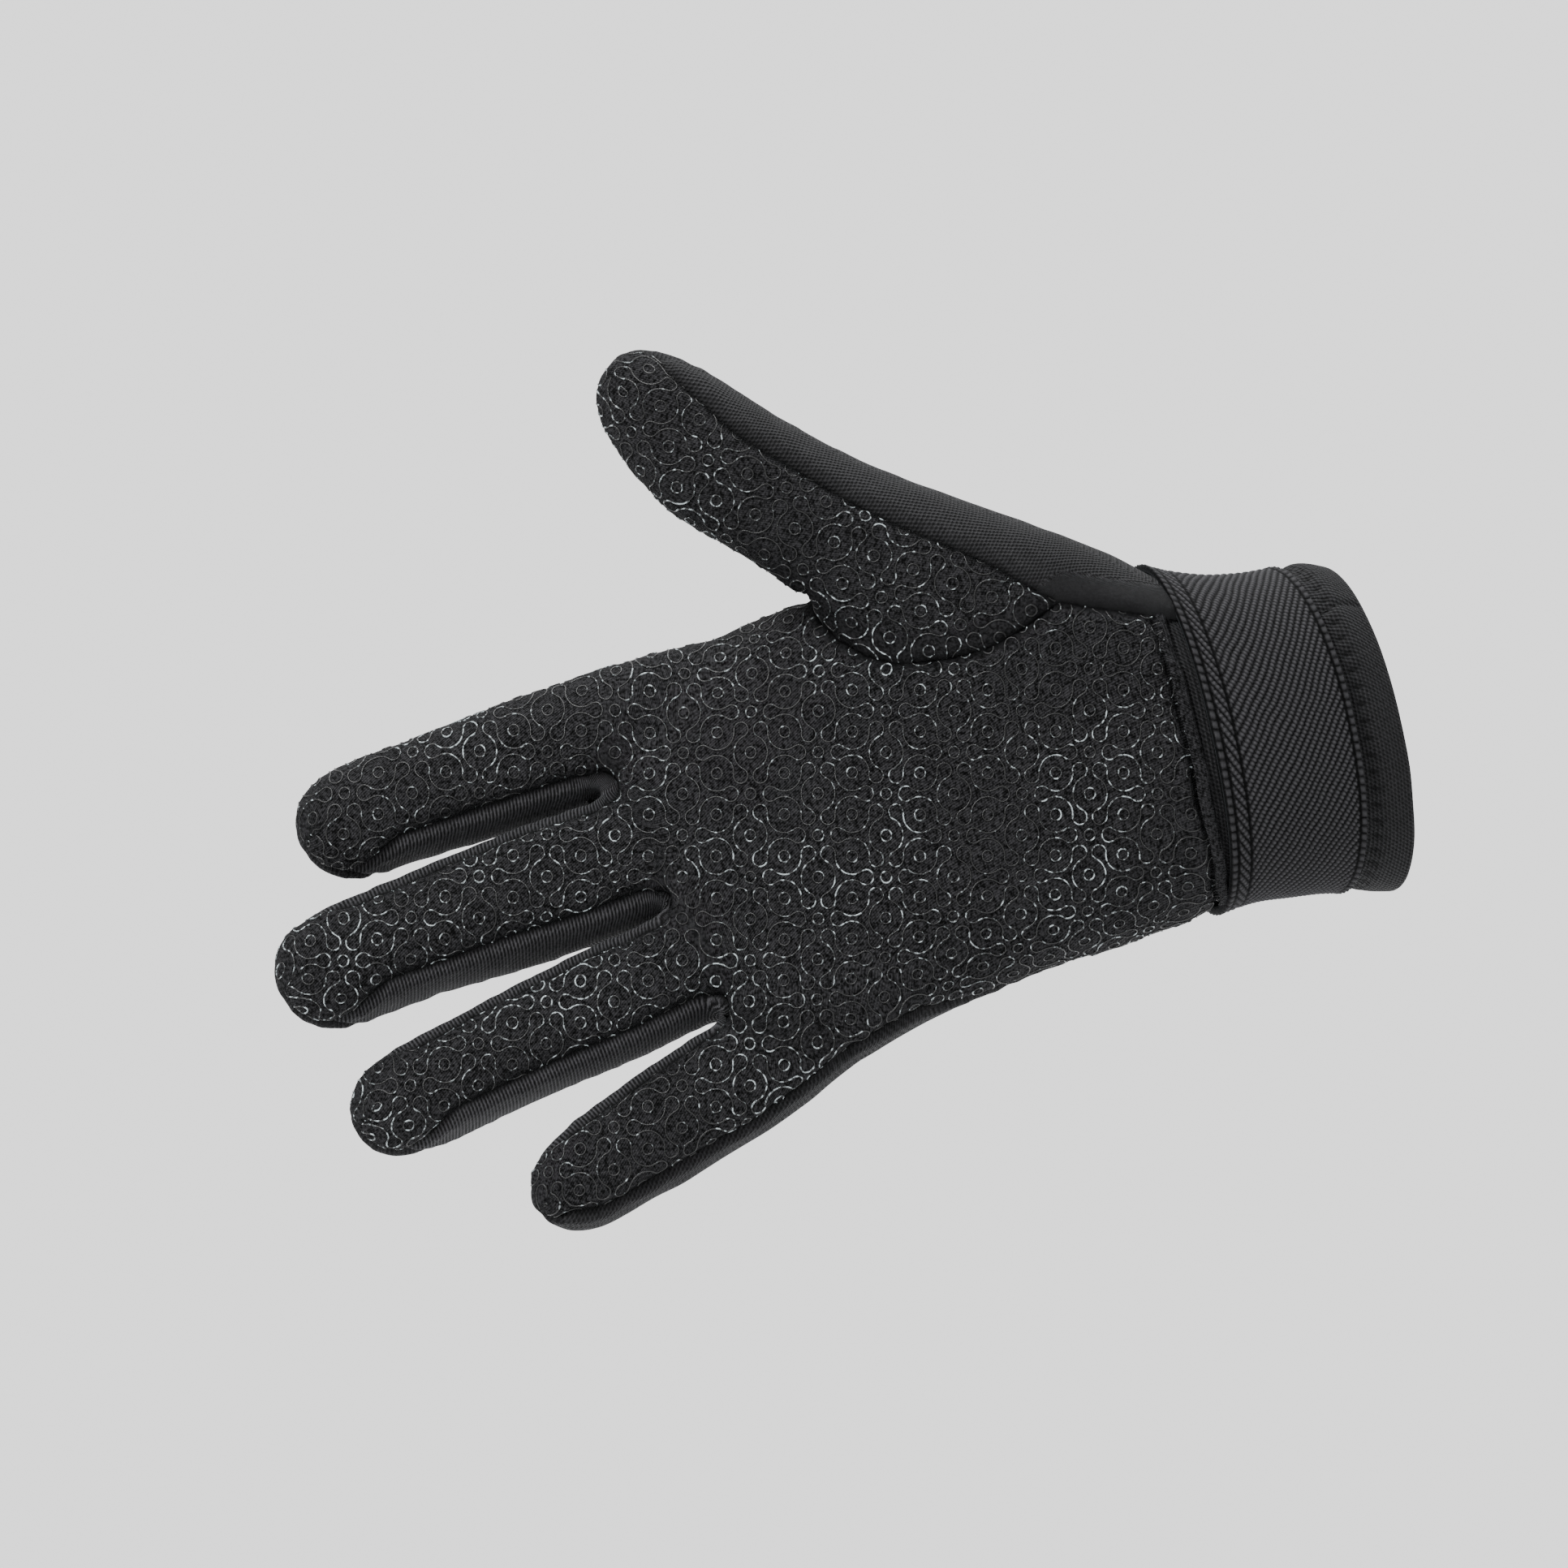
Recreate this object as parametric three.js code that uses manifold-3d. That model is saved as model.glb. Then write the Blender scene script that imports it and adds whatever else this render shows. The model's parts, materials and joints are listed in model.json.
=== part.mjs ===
// A right-hand stretch-knit glove in its worn, filled-out form, sewn from cloth panels, with an
// elastic band round the wrist. Millimetres. +X runs out of the wrist opening along the forearm,
// +Z points to the thumb side, and the palm faces -Y. The origin is the middle of the wrist opening.
import * as THREE from "three";
import { mergeVertices } from "three/addons/utils/BufferGeometryUtils.js";
import Module from "manifold-3d";

const wasm = await Module();
wasm.setup();

// Cloth, seams and hems
const clothWall = 1.7;
const seamGap = 0.3;
const rimHemDepth = 9;
const rimHemFold = 0.8;

// Wrist, from the opening to the heel of the hand
const wristLength = 47;
const wristBreadth = 66;
const wristDepth = 46;

// Palm, from the heel of the hand to the roots of the fingers
const palmLength = 98;
const palmBreadth = 92;
const palmThickness = 34;
const palmRoll = 18;

// Elastic band round the wrist, measured along the wrist from the opening
const cuffMargin = 12.5;
const strapWidth = 30.5;
const strapThickness = 1.8;
const strapClearance = 0.35;

// Palm hem, where the printed cloth ends and the plain cuff begins
const hemDistance = 43.5;
const hemSlant = 14;
const hemBow = 2.5;

// Fingers. x and z: where the middle line leaves the palm. length: from there to the tip.
// droop: degrees below the horizontal. breadth: across the front.
const fingerRoll = 20;
const fingerFlatness = 0.88;
const fingerTip = 16;
const fingers = [
  { name: "index", x: -139.4, z: 5.8, length: 88, droop: 18.9, breadth: 25.2 },
  { name: "middle", x: -136, z: -20.9, length: 96.5, droop: 19.8, breadth: 26.6 },
  { name: "ring", x: -129.2, z: -44.3, length: 90, droop: 24.9, breadth: 23.6 },
  { name: "little", x: -115.6, z: -63.8, length: 67.5, droop: 32, breadth: 23.2 },
];

// Side strips between the fingers: how much of the finger's thickness they take
const stripShare = 0.72;
const stripTipShare = 0.3;

// Thumb. forward: how far its root stands in front of the palm's middle plane.
const thumbTip = 22;
const thumb = { x: -71.4, z: 19.2, forward: 6, length: 103.5, droop: -31.1, breadth: 27.8 };
const thumbRoll = -14;
const thumbSeamShare = 0.34;

// Hole in the palm that the thumb is set into
const thumbHole = { x: -65.8, z: 24.8, length: 51 };

// Seam on the thumb side of the wrist, and how far the back cloth wraps round the little finger
const sideSeamHeight = 25;
const littleWrap = 5;

// Rows of the wrist. out and near: shares of wristLength towards the fingers and the front,
// rise and breadth: shares of wristBreadth, depth: share of wristDepth, droop and turn: degrees that
// the section leans below the horizontal and to the front, roll: share of palmRoll.
const wristRows = [
  { out: 0, near: 0, rise: 0, droop: 13, turn: 22, breadth: 1.06, depth: 1.02, roll: 0 },
  { out: 0.14, near: 0.065, rise: 0.005, droop: 12.5, turn: 24, breadth: 1.07, depth: 1.02, roll: 0 },
  { out: 0.26, near: 0.12, rise: -0.005, droop: 12.5, turn: 24, breadth: 0.99, depth: 0.97, roll: 0 },
  { out: 0.5, near: 0.225, rise: -0.025, droop: 12.5, turn: 22.5, breadth: 0.98, depth: 0.96, roll: 0 },
  { out: 0.65, near: 0.285, rise: -0.03, droop: 12.5, turn: 20.5, breadth: 1, depth: 0.95, roll: 0.05 },
  { out: 0.8, near: 0.335, rise: -0.035, droop: 12.5, turn: 18, breadth: 1.06, depth: 0.94, roll: 0.1 },
  { out: 1, near: 0.395, rise: -0.032, droop: 12.5, turn: 15, breadth: 1.2, depth: 0.93, roll: 0.18 },
];

// Rows of the palm. out and near: shares of palmLength beyond the wrist, rise and breadth: shares of
// palmBreadth, depth: share of palmThickness, the others as above.
const palmRows = [
  { out: 0.14, near: 0.036, rise: -0.018, droop: 13, turn: 11, breadth: 0.925, depth: 1.2, roll: 0.3 },
  { out: 0.34, near: 0.069, rise: -0.092, droop: 15, turn: 7, breadth: 0.915, depth: 1.1, roll: 0.55 },
  { out: 0.54, near: 0.09, rise: -0.145, droop: 17.5, turn: 3.5, breadth: 1, depth: 1, roll: 0.8 },
  { out: 0.72, near: 0.1, rise: -0.236, droop: 20, turn: 1, breadth: 1.01, depth: 0.93, roll: 0.95 },
  { out: 0.87, near: 0.1, rise: -0.31, droop: 23.5, turn: 0, breadth: 1.015, depth: 0.84, roll: 1 },
  { out: 0.96, near: 0.1, rise: -0.374, droop: 26.5, turn: 0, breadth: 0.95, depth: 0.72, roll: 1 },
  { out: 0.99, near: 0.1, rise: -0.395, droop: 28, turn: 0, breadth: 0.86, depth: 0.5, roll: 1 },
];

// Rows of a finger. at and curl: shares of its length along it and to the front, across and
// breadth: shares of its breadth, flat: its thickness as a share of its own breadth there.
const fingerRows = [
  { at: -0.08, across: 0, curl: 0, breadth: 0.74, flat: 1 },
  { at: 0.1, across: -0.01, curl: 0.002, breadth: 0.96, flat: 1 },
  { at: 0.3, across: -0.015, curl: 0.008, breadth: 1.04, flat: 1 },
  { at: 0.5, across: -0.01, curl: 0.022, breadth: 1.01, flat: 1 },
  { at: 0.7, across: -0.015, curl: 0.05, breadth: 0.96, flat: 0.97 },
  { at: 0.85, across: -0.03, curl: 0.08, breadth: 0.92, flat: 0.95 },
  { at: 1, across: -0.075, curl: 0.115, breadth: 0.92, flat: 0.92 },
];

// Rows of the thumb, whose root is the ball of the thumb
const thumbRows = [
  { at: -0.14, across: 0.05, curl: -0.02, breadth: 1.55, flat: 0.62 },
  { at: 0.02, across: -0.02, curl: 0, breadth: 1.67, flat: 0.72 },
  { at: 0.16, across: -0.035, curl: 0.02, breadth: 1.52, flat: 0.78 },
  { at: 0.3, across: -0.04, curl: 0.045, breadth: 1.32, flat: 0.84 },
  { at: 0.44, across: -0.04, curl: 0.065, breadth: 1.09, flat: 0.95 },
  { at: 0.58, across: -0.045, curl: 0.085, breadth: 1, flat: 1 },
  { at: 0.72, across: -0.045, curl: 0.1, breadth: 1.01, flat: 0.97 },
  { at: 0.85, across: 0.03, curl: 0.11, breadth: 0.9, flat: 0.95 },
  { at: 1, across: 0.13, curl: 0.112, breadth: 0.82, flat: 0.92 },
];

// Rows of the seam round the thumb hole, from the wrist side to the crotch of the thumb.
// along and drop: shares of the hole's length.
const thumbHoleRows = [
  { along: 0, drop: 0 },
  { along: 0.13, drop: 0.12 },
  { along: 0.3, drop: 0.21 },
  { along: 0.5, drop: 0.26 },
  { along: 0.68, drop: 0.26 },
  { along: 0.85, drop: 0.2 },
  { along: 0.95, drop: 0.11 },
  { along: 0.99, drop: -0.01 },
];

// How fine the faces are
const handSides = 28;
const limbSides = 14;
const wristRoundness = 2.1;
const palmRoundness = 2.5;
const limbRoundness = 2.4;
const tipRoundness = 2.4;
const tipRings = 4;
const seamCell = 9;

// Places well outside the glove, where the cutting blocks end
const farFront = -160;
const farSide = 260;
const opening = 30;

const radians = THREE.MathUtils.degToRad;
const front = new THREE.Vector3(0, -1, 0);

// The value of a column at a place, on a smooth curve through the rows
function between(rows, key, column, place) {
  const last = rows.length - 1;
  let i = 0;
  while (i < last - 1 && place > rows[i + 1][key]) i += 1;
  const slope = (a, b) => (rows[b][column] - rows[a][column]) / (rows[b][key] - rows[a][key]);
  const span = rows[i + 1][key] - rows[i][key];
  const rise = rows[i + 1][column] - rows[i][column];
  const t = (place - rows[i][key]) / span;
  const leaving = slope(Math.max(i - 1, 0), i + 1) * span - rise;
  const arriving = rise - slope(i, Math.min(i + 2, last)) * span;
  const bend = t < 0 || t > 1 ? 0 : t * (1 - t) * (leaving * (1 - t) + arriving * t);
  return rows[i][column] + t * rise + bend;
}

// A cross-section: its centre, its axes to the thumb side and to the front, and its half sizes
function makeSection(centre, normal, upward, roll, halfBreadth, halfDepth, roundness) {
  const sideways = upward.clone().addScaledVector(normal, -upward.dot(normal)).normalize();
  sideways.applyAxisAngle(normal, roll);
  const forward = new THREE.Vector3().crossVectors(sideways, normal).normalize();
  return { centre, normal, sideways, forward, halfBreadth, halfDepth, roundness };
}

function sectionPoint(section, across, depth) {
  return section.centre
    .clone()
    .addScaledVector(section.sideways, across)
    .addScaledVector(section.forward, depth);
}

// The wrist and palm rows as one run of sections in millimetres from the opening
const wristEnd = wristRows[wristRows.length - 1];
const handRows = [
  ...wristRows.map((row) => ({
    ...row,
    out: row.out * wristLength,
    near: row.near * wristLength,
    rise: row.rise * wristBreadth,
    breadth: row.breadth * wristBreadth,
    depth: row.depth * wristDepth,
    roll: row.roll * palmRoll,
  })),
  ...palmRows.map((row) => ({
    ...row,
    out: wristLength + row.out * palmLength,
    near: wristEnd.near * wristLength + row.near * palmLength,
    rise: wristEnd.rise * wristBreadth + row.rise * palmBreadth,
    breadth: row.breadth * palmBreadth,
    depth: row.depth * palmThickness,
    roll: row.roll * palmRoll,
  })),
];
const handLength = handRows[handRows.length - 1].out;

function handSection(out) {
  const value = (column) => between(handRows, "out", column, out);
  const droop = radians(value("droop"));
  const turn = radians(value("turn"));
  const normal = new THREE.Vector3(
    -Math.cos(droop) * Math.cos(turn),
    -Math.cos(droop) * Math.sin(turn),
    -Math.sin(droop),
  );
  const centre = new THREE.Vector3(-out, -value("near"), value("rise"));
  const upward = new THREE.Vector3(0, 0, 1);
  const roll = radians(value("roll"));
  const palmShare = THREE.MathUtils.smoothstep(out, wristLength / 2, wristLength + palmLength / 4);
  const roundness = THREE.MathUtils.lerp(wristRoundness, palmRoundness, palmShare);
  const halves = [value("breadth") / 2, value("depth") / 2];
  return makeSection(centre, normal, upward, roll, ...halves, roundness);
}

// The middle plane of the palm, as a depth at a place in the front view
function palmPlane(x, z) {
  const out = THREE.MathUtils.clamp(-x, 0, handLength);
  const tilt = Math.tan(radians(between(handRows, "out", "roll", out)));
  const centreHeight = between(handRows, "out", "rise", out);
  return -between(handRows, "out", "near", out) + (z - centreHeight) * tilt;
}

// The fingers and the thumb as limbs: a root, a direction and a table of rows
function makeLimb(size, rows, roll, flatness, tip, forward) {
  const droop = radians(size.droop);
  return {
    ...size,
    rows,
    tip,
    flatness,
    roll: radians(roll),
    root: new THREE.Vector3(size.x, palmPlane(size.x, size.z) - forward, size.z),
    along: new THREE.Vector3(-Math.cos(droop), 0, -Math.sin(droop)),
    upward: new THREE.Vector3(-Math.sin(droop), 0, Math.cos(droop)),
  };
}

const fingerLimbs = fingers.map((size) =>
  makeLimb(size, fingerRows, fingerRoll, fingerFlatness, fingerTip, 0),
);
const thumbLimb = makeLimb(thumb, thumbRows, thumbRoll, fingerFlatness, thumbTip, thumb.forward);

function limbCentre(limb, at) {
  return limb.root
    .clone()
    .addScaledVector(limb.along, at * limb.length)
    .addScaledVector(limb.upward, between(limb.rows, "at", "across", at) * limb.breadth)
    .addScaledVector(front, between(limb.rows, "at", "curl", at) * limb.length);
}

function limbSection(limb, at, taper) {
  const step = 0.01;
  const ahead = limbCentre(limb, at + step);
  const normal = ahead.sub(limbCentre(limb, at - step)).normalize();
  const halfBreadth = (between(limb.rows, "at", "breadth", at) * limb.breadth * taper) / 2;
  const halfDepth = halfBreadth * limb.flatness * between(limb.rows, "at", "flat", at);
  const halves = [halfBreadth, halfDepth];
  return makeSection(limbCentre(limb, at), normal, limb.upward, limb.roll, ...halves, limbRoundness);
}

// Joins rings of points into one closed skin, with a point in the middle of each end
function skin(rings) {
  const sides = rings[0].length;
  const positions = rings.flatMap((ring) => ring.flatMap((point) => point.toArray()));
  const middles = [rings[0], rings[rings.length - 1]].map((ring) =>
    ring.reduce((sum, point) => sum.add(point), new THREE.Vector3()).divideScalar(sides),
  );
  middles.forEach((point) => positions.push(...point.toArray()));
  const first = rings.length * sides;
  const last = (rings.length - 1) * sides;
  const faces = [];
  for (let k = 0; k < sides; k += 1) {
    const next = (k + 1) % sides;
    for (let i = 0; i < rings.length - 1; i += 1) {
      const a = i * sides;
      const b = a + sides;
      faces.push(a + k, b + k, b + next, a + k, b + next, a + next);
    }
    faces.push(first, k, next, first + 1, last + next, last + k);
  }
  const geometry = new THREE.BufferGeometry();
  geometry.setAttribute("position", new THREE.Float32BufferAttribute(positions, 3));
  geometry.setIndex(faces);
  return geometry;
}

// The rounded outline of a section, made smaller or larger all round
function ringOf(section, sides, inset) {
  const ring = [];
  for (let k = 0; k < sides; k += 1) {
    const c = Math.cos((2 * Math.PI * k) / sides);
    const s = Math.sin((2 * Math.PI * k) / sides);
    const across = Math.sign(c) * Math.abs(c) ** (2 / section.roundness);
    const depth = Math.sign(s) * Math.abs(s) ** (2 / section.roundness);
    ring.push(
      sectionPoint(section, across * (section.halfBreadth - inset), depth * (section.halfDepth - inset)),
    );
  }
  return ring;
}

// A three.js geometry as a solid that can be joined and cut, and back again
function solid(geometry) {
  const bare = geometry.clone();
  bare.deleteAttribute("normal");
  bare.deleteAttribute("uv");
  const merged = mergeVertices(bare, 1e-4);
  const mesh = new wasm.Mesh({
    numProp: 3,
    vertProperties: new Float32Array(merged.attributes.position.array),
    triVerts: new Uint32Array(merged.index.array),
  });
  return new wasm.Manifold(mesh);
}

function geometryOf(body) {
  const mesh = body.getMesh();
  const geometry = new THREE.BufferGeometry();
  geometry.setAttribute("position", new THREE.BufferAttribute(mesh.vertProperties, 3));
  geometry.setIndex(new THREE.BufferAttribute(mesh.triVerts, 1));
  return geometry;
}

function joined(bodies) {
  return bodies.reduce((all, body) => all.add(body));
}

// The hand's body from one distance to another, and a limb with its domed tip
function handSolid(from, to, inset) {
  const marks = handRows.map((row) => row.out).filter((out) => out > from + 2 && out < to - 2);
  const outs = [from, ...marks, to];
  return solid(skin(outs.map((out) => ringOf(handSection(out), handSides, inset))));
}

function limbSolid(limb, inset) {
  const tip = limb.tip / limb.length;
  const start = limb.rows[0].at;
  const marks = limb.rows.map((row) => row.at).filter((at) => at > start && at < 1 - tip);
  const shares = [start, ...marks];
  const rings = shares.map((at) => ringOf(limbSection(limb, at, 1), limbSides, inset));
  for (let k = 0; k <= tipRings; k += 1) {
    const t = Math.sin((k / (tipRings + 0.35)) * (Math.PI / 2));
    const taper = (1 - t ** tipRoundness) ** (1 / tipRoundness);
    const at = 1 - tip + t * (tip - inset / limb.length);
    const section = limbSection(limb, at, 1);
    const shrink = (half) => (half - inset) * taper + inset;
    section.halfBreadth = shrink(section.halfBreadth);
    section.halfDepth = shrink(section.halfDepth);
    rings.push(ringOf(section, limbSides, inset));
  }
  return solid(skin(rings));
}

// A block behind or in front of a curved sheet that faces the viewer, whose depth is a function
function blockInFront(depthAt, shift) {
  const lowX = -240;
  const lowZ = -130;
  const across = Math.ceil((opening - lowX) / seamCell);
  const up = Math.ceil((palmBreadth - lowZ) / seamCell);
  const rings = [];
  const layer = (depth) => {
    const points = [];
    for (let j = 0; j <= up; j += 1) {
      for (let i = 0; i <= across; i += 1) {
        const x = lowX + i * seamCell;
        const z = lowZ + j * seamCell;
        points.push(new THREE.Vector3(x, depth(x, z), z));
      }
    }
    return points;
  };
  const sheet = layer((x, z) => depthAt(x, z) + shift);
  const cap = layer(() => farFront);
  rings.push(...sheet, ...cap);
  const faces = [];
  const row = across + 1;
  const capStart = row * (up + 1);
  for (let j = 0; j < up; j += 1) {
    for (let i = 0; i < across; i += 1) {
      const a = j * row + i;
      faces.push(a, a + row, a + row + 1, a, a + row + 1, a + 1);
      const b = capStart + a;
      faces.push(b, b + row + 1, b + row, b, b + 1, b + row + 1);
    }
  }
  const wall = (a, b) => faces.push(a, b, capStart + b, a, capStart + b, capStart + a);
  for (let i = 0; i < across; i += 1) {
    wall(i, i + 1);
    wall(up * row + i + 1, up * row + i);
  }
  for (let j = 0; j < up; j += 1) {
    wall((j + 1) * row, j * row);
    wall(j * row + across, (j + 1) * row + across);
  }
  const geometry = new THREE.BufferGeometry();
  geometry.setAttribute(
    "position",
    new THREE.Float32BufferAttribute(rings.flatMap((point) => point.toArray()), 3),
  );
  geometry.setIndex(faces);
  return solid(geometry);
}

// A prism that stands on an outline in the front view and runs right through from front to back
function prism(outline) {
  const shape = new THREE.Shape(outline);
  const depth = 2 * farSide;
  const geometry = new THREE.ExtrudeGeometry(shape, { depth, bevelEnabled: false });
  geometry.rotateX(Math.PI / 2);
  geometry.translate(0, farSide, 0);
  return solid(geometry);
}

// Where a place in the front view lies along a limb and across it
function limbPlace(limb, x, z) {
  const offset = new THREE.Vector3(x - limb.root.x, 0, z - limb.root.z);
  const at = THREE.MathUtils.clamp(offset.dot(limb.along) / limb.length, 0, 1);
  const middle = between(limb.rows, "at", "across", at) * limb.breadth;
  return { at, across: offset.dot(limb.upward) - middle };
}

function limbPlane(limb, place) {
  return limbCentre(limb, place.at).y + place.across * Math.tan(limb.roll);
}

// The depth of the seam between the palm cloth and the back cloth
function palmSeam(x, z) {
  const places = fingerLimbs.map((limb) => ({ limb, ...limbPlace(limb, x, z) }));
  places.sort((a, b) => Math.abs(a.across) - Math.abs(b.across));
  const nearest = places[0];
  const onFinger = THREE.MathUtils.smoothstep(nearest.at, 0, 0.3);
  const outside = nearest.limb.name === "little" ? -nearest.across / nearest.limb.breadth : 0;
  const wrap = littleWrap * THREE.MathUtils.smoothstep(outside, 0, 0.4);
  return THREE.MathUtils.lerp(palmPlane(x, z), limbPlane(nearest.limb, nearest), onFinger) - wrap;
}

function thumbSeam(x, z) {
  return limbPlane(thumbLimb, limbPlace(thumbLimb, x, z));
}

// The seam round the thumb hole, in the front view
const holePoints = thumbHoleRows.map(
  (row) =>
    new THREE.Vector2(
      thumbHole.x - row.along * thumbHole.length,
      thumbHole.z - row.drop * thumbHole.length,
    ),
);
const holeCurve = new THREE.SplineCurve(holePoints).getPoints(24);
const crotchRise = 18;
const beyondCrotch = new THREE.Vector2(-farSide, holePoints[holePoints.length - 1].y + crotchRise);

// The seam along the top of the thumb, in the front view
const thumbSeamPoint = (at) => {
  const point = thumbLimb.root
    .clone()
    .addScaledVector(thumbLimb.along, at * thumb.length)
    .addScaledVector(thumbLimb.upward, thumbSeamShare * thumb.breadth);
  return new THREE.Vector2(point.x, point.z);
};

// The front of the palm and cuff, and the front of the thumb, grown by a little all round
function palmFront(grow) {
  const side = new THREE.Vector2(opening, sideSeamHeight);
  const upper = [beyondCrotch, ...[...holeCurve].reverse(), side];
  const outline = [
    ...upper.map((point) => new THREE.Vector2(point.x, point.y + grow)),
    new THREE.Vector2(opening, -farSide),
    new THREE.Vector2(-farSide, -farSide),
  ];
  return prism(outline).intersect(blockInFront(palmSeam, grow));
}

function thumbFront(grow) {
  const outline = [
    new THREE.Vector2(thumbHole.x + 2 * grow, thumbHole.z),
    ...[...holeCurve.slice(1), beyondCrotch].map((point) => new THREE.Vector2(point.x, point.y - grow)),
    ...[1.3, 0.05].map(thumbSeamPoint).map((point) => new THREE.Vector2(point.x, point.y + grow)),
  ];
  return prism(outline).intersect(blockInFront(thumbSeam, grow));
}

// Everything on the finger side of a bowed line across the wrist
function fingerSide(distance, slant, bow, shift) {
  const lean = Math.tan(radians(slant));
  const line = [];
  for (let k = 0; k <= 8; k += 1) {
    const height = palmBreadth * (0.75 - (1.5 * k) / 8);
    const bulge = bow * (1 - (height / (palmBreadth / 2)) ** 2);
    line.push(new THREE.Vector2(-distance - height * lean + bulge + shift, height));
  }
  const outline = [
    new THREE.Vector2(-farSide, farSide),
    new THREE.Vector2(line[0].x, farSide),
    ...line,
    new THREE.Vector2(line[line.length - 1].x, -farSide),
    new THREE.Vector2(-farSide, -farSide),
  ];
  return prism(outline);
}

// The strip between two fingers, as a slab from the middle line of one to that of the other
function stripBlock(upperLimb, lowerLimb, grow) {
  const ends = [upperLimb, lowerLimb];
  const shares = [-0.04, 0.1, 0.3, 0.5, 0.7, 0.86, 0.96];
  const rings = shares.map((at) => {
    const narrow = THREE.MathUtils.smoothstep(at, 0.75, 1);
    const share = THREE.MathUtils.lerp(stripShare, stripTipShare, narrow);
    const sections = ends.map((limb) => limbSection(limb, at, 1));
    const edge = (section, side) => sectionPoint(section, 0, side * (section.halfDepth * share + grow));
    return [
      edge(sections[0], 1),
      edge(sections[1], 1),
      edge(sections[1], -1),
      edge(sections[0], -1),
    ];
  });
  return solid(skin(rings));
}

// Cloth as the space between an outer and an inner form
function formOf(inset) {
  return joined([
    ...fingerLimbs.map((limb) => limbSolid(limb, inset)),
    limbSolid(thumbLimb, inset),
  ]);
}

const outerForm = formOf(0).add(handSolid(0, handLength, 0));
const innerForm = joined([
  formOf(clothWall),
  handSolid(rimHemDepth, handLength - clothWall, clothWall),
  handSolid(-clothWall, rimHemDepth + clothWall, clothWall + rimHemFold),
]);
const cloth = outerForm.subtract(innerForm);

const half = seamGap / 2;
const pairs = [0, 1, 2].map((i) => [fingerLimbs[i], fingerLimbs[i + 1]]);
const stripCuts = joined(pairs.map(([a, b]) => stripBlock(a, b, seamGap)));
const panels = cloth.subtract(stripCuts);
const frontCloth = panels.intersect(palmFront(-half));
const backCloth = panels.subtract(palmFront(half)).subtract(thumbFront(half));
const wristLean = Math.cos(radians(wristRows[0].droop)) * Math.cos(radians(wristRows[3].turn));
const backJoin = (cuffMargin + strapWidth / 2) * wristLean;
const palmCut = (shift) => fingerSide(hemDistance * wristLean, hemSlant, hemBow, shift);
const backCut = (shift) => fingerSide(backJoin, wristRows[0].droop, 0, shift);

// Elastic band: a closed ring that stands off the cuff by a small clearance
function strapSolid() {
  const from = cuffMargin * wristLean;
  const to = (cuffMargin + strapWidth) * wristLean;
  const outside = handSolid(from, to, -strapClearance - strapThickness);
  const inside = handSolid(from - strapWidth / 10, to + strapWidth / 10, -strapClearance);
  return outside.subtract(inside);
}

const knitBlack = { color: 0x2f2e30, roughness: 0.85, metalness: 0 };
const elasticBlack = { color: 0x3a393c, roughness: 0.8, metalness: 0 };

function piece(name, body, finish) {
  const mesh = new THREE.Mesh(geometryOf(body), new THREE.MeshStandardMaterial(finish));
  mesh.name = name;
  return mesh;
}

const glove = new THREE.Group();
glove.add(
  piece("palm_panel", frontCloth.intersect(palmCut(-half)), knitBlack),
  piece("thumb_front", panels.intersect(thumbFront(-half)), knitBlack),
  piece("back_panel", backCloth.intersect(backCut(-half)), knitBlack),
  piece("cuff_front", frontCloth.subtract(palmCut(half)), knitBlack),
  piece("cuff_back", backCloth.subtract(backCut(half)), knitBlack),
  piece("wrist_strap", strapSolid(), elasticBlack),
);
pairs.forEach(([upper, lower]) => {
  const strip = cloth.intersect(stripBlock(upper, lower, 0));
  glove.add(piece(`${upper.name}_${lower.name}_strip`, strip, knitBlack));
});

export default glove;
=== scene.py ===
import json
import math
import bpy
import numpy as np
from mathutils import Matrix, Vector

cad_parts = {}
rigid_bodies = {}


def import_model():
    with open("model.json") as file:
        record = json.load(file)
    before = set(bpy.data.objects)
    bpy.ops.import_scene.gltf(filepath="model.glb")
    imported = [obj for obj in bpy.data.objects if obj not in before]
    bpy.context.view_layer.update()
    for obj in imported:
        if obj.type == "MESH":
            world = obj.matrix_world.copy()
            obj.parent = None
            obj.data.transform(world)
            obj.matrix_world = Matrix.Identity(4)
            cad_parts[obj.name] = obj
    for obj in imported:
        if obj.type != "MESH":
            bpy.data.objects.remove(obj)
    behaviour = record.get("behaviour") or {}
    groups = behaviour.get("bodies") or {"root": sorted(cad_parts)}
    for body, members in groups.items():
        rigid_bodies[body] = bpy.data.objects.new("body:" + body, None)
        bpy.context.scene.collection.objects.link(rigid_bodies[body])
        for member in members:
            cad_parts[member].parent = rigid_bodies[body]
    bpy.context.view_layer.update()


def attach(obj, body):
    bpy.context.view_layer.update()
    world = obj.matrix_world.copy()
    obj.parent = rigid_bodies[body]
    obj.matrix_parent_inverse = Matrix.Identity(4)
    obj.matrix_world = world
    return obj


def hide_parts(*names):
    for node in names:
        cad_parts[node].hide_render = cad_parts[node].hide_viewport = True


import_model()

mm = 0.001   # shapes are worked out in millimetres and stored in metres
print("frame loaded")

# Camera, far off like a product shot; one image pixel is `pixel` millimetres of glove at focusDepth
camera = {"pixel": 0.17, "imageSize": 1932, "originPixel": (1680, 898), "distance": 4000, "focusDepth": -28,
          "sensor": 36, "clipEnd": 50}


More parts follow.
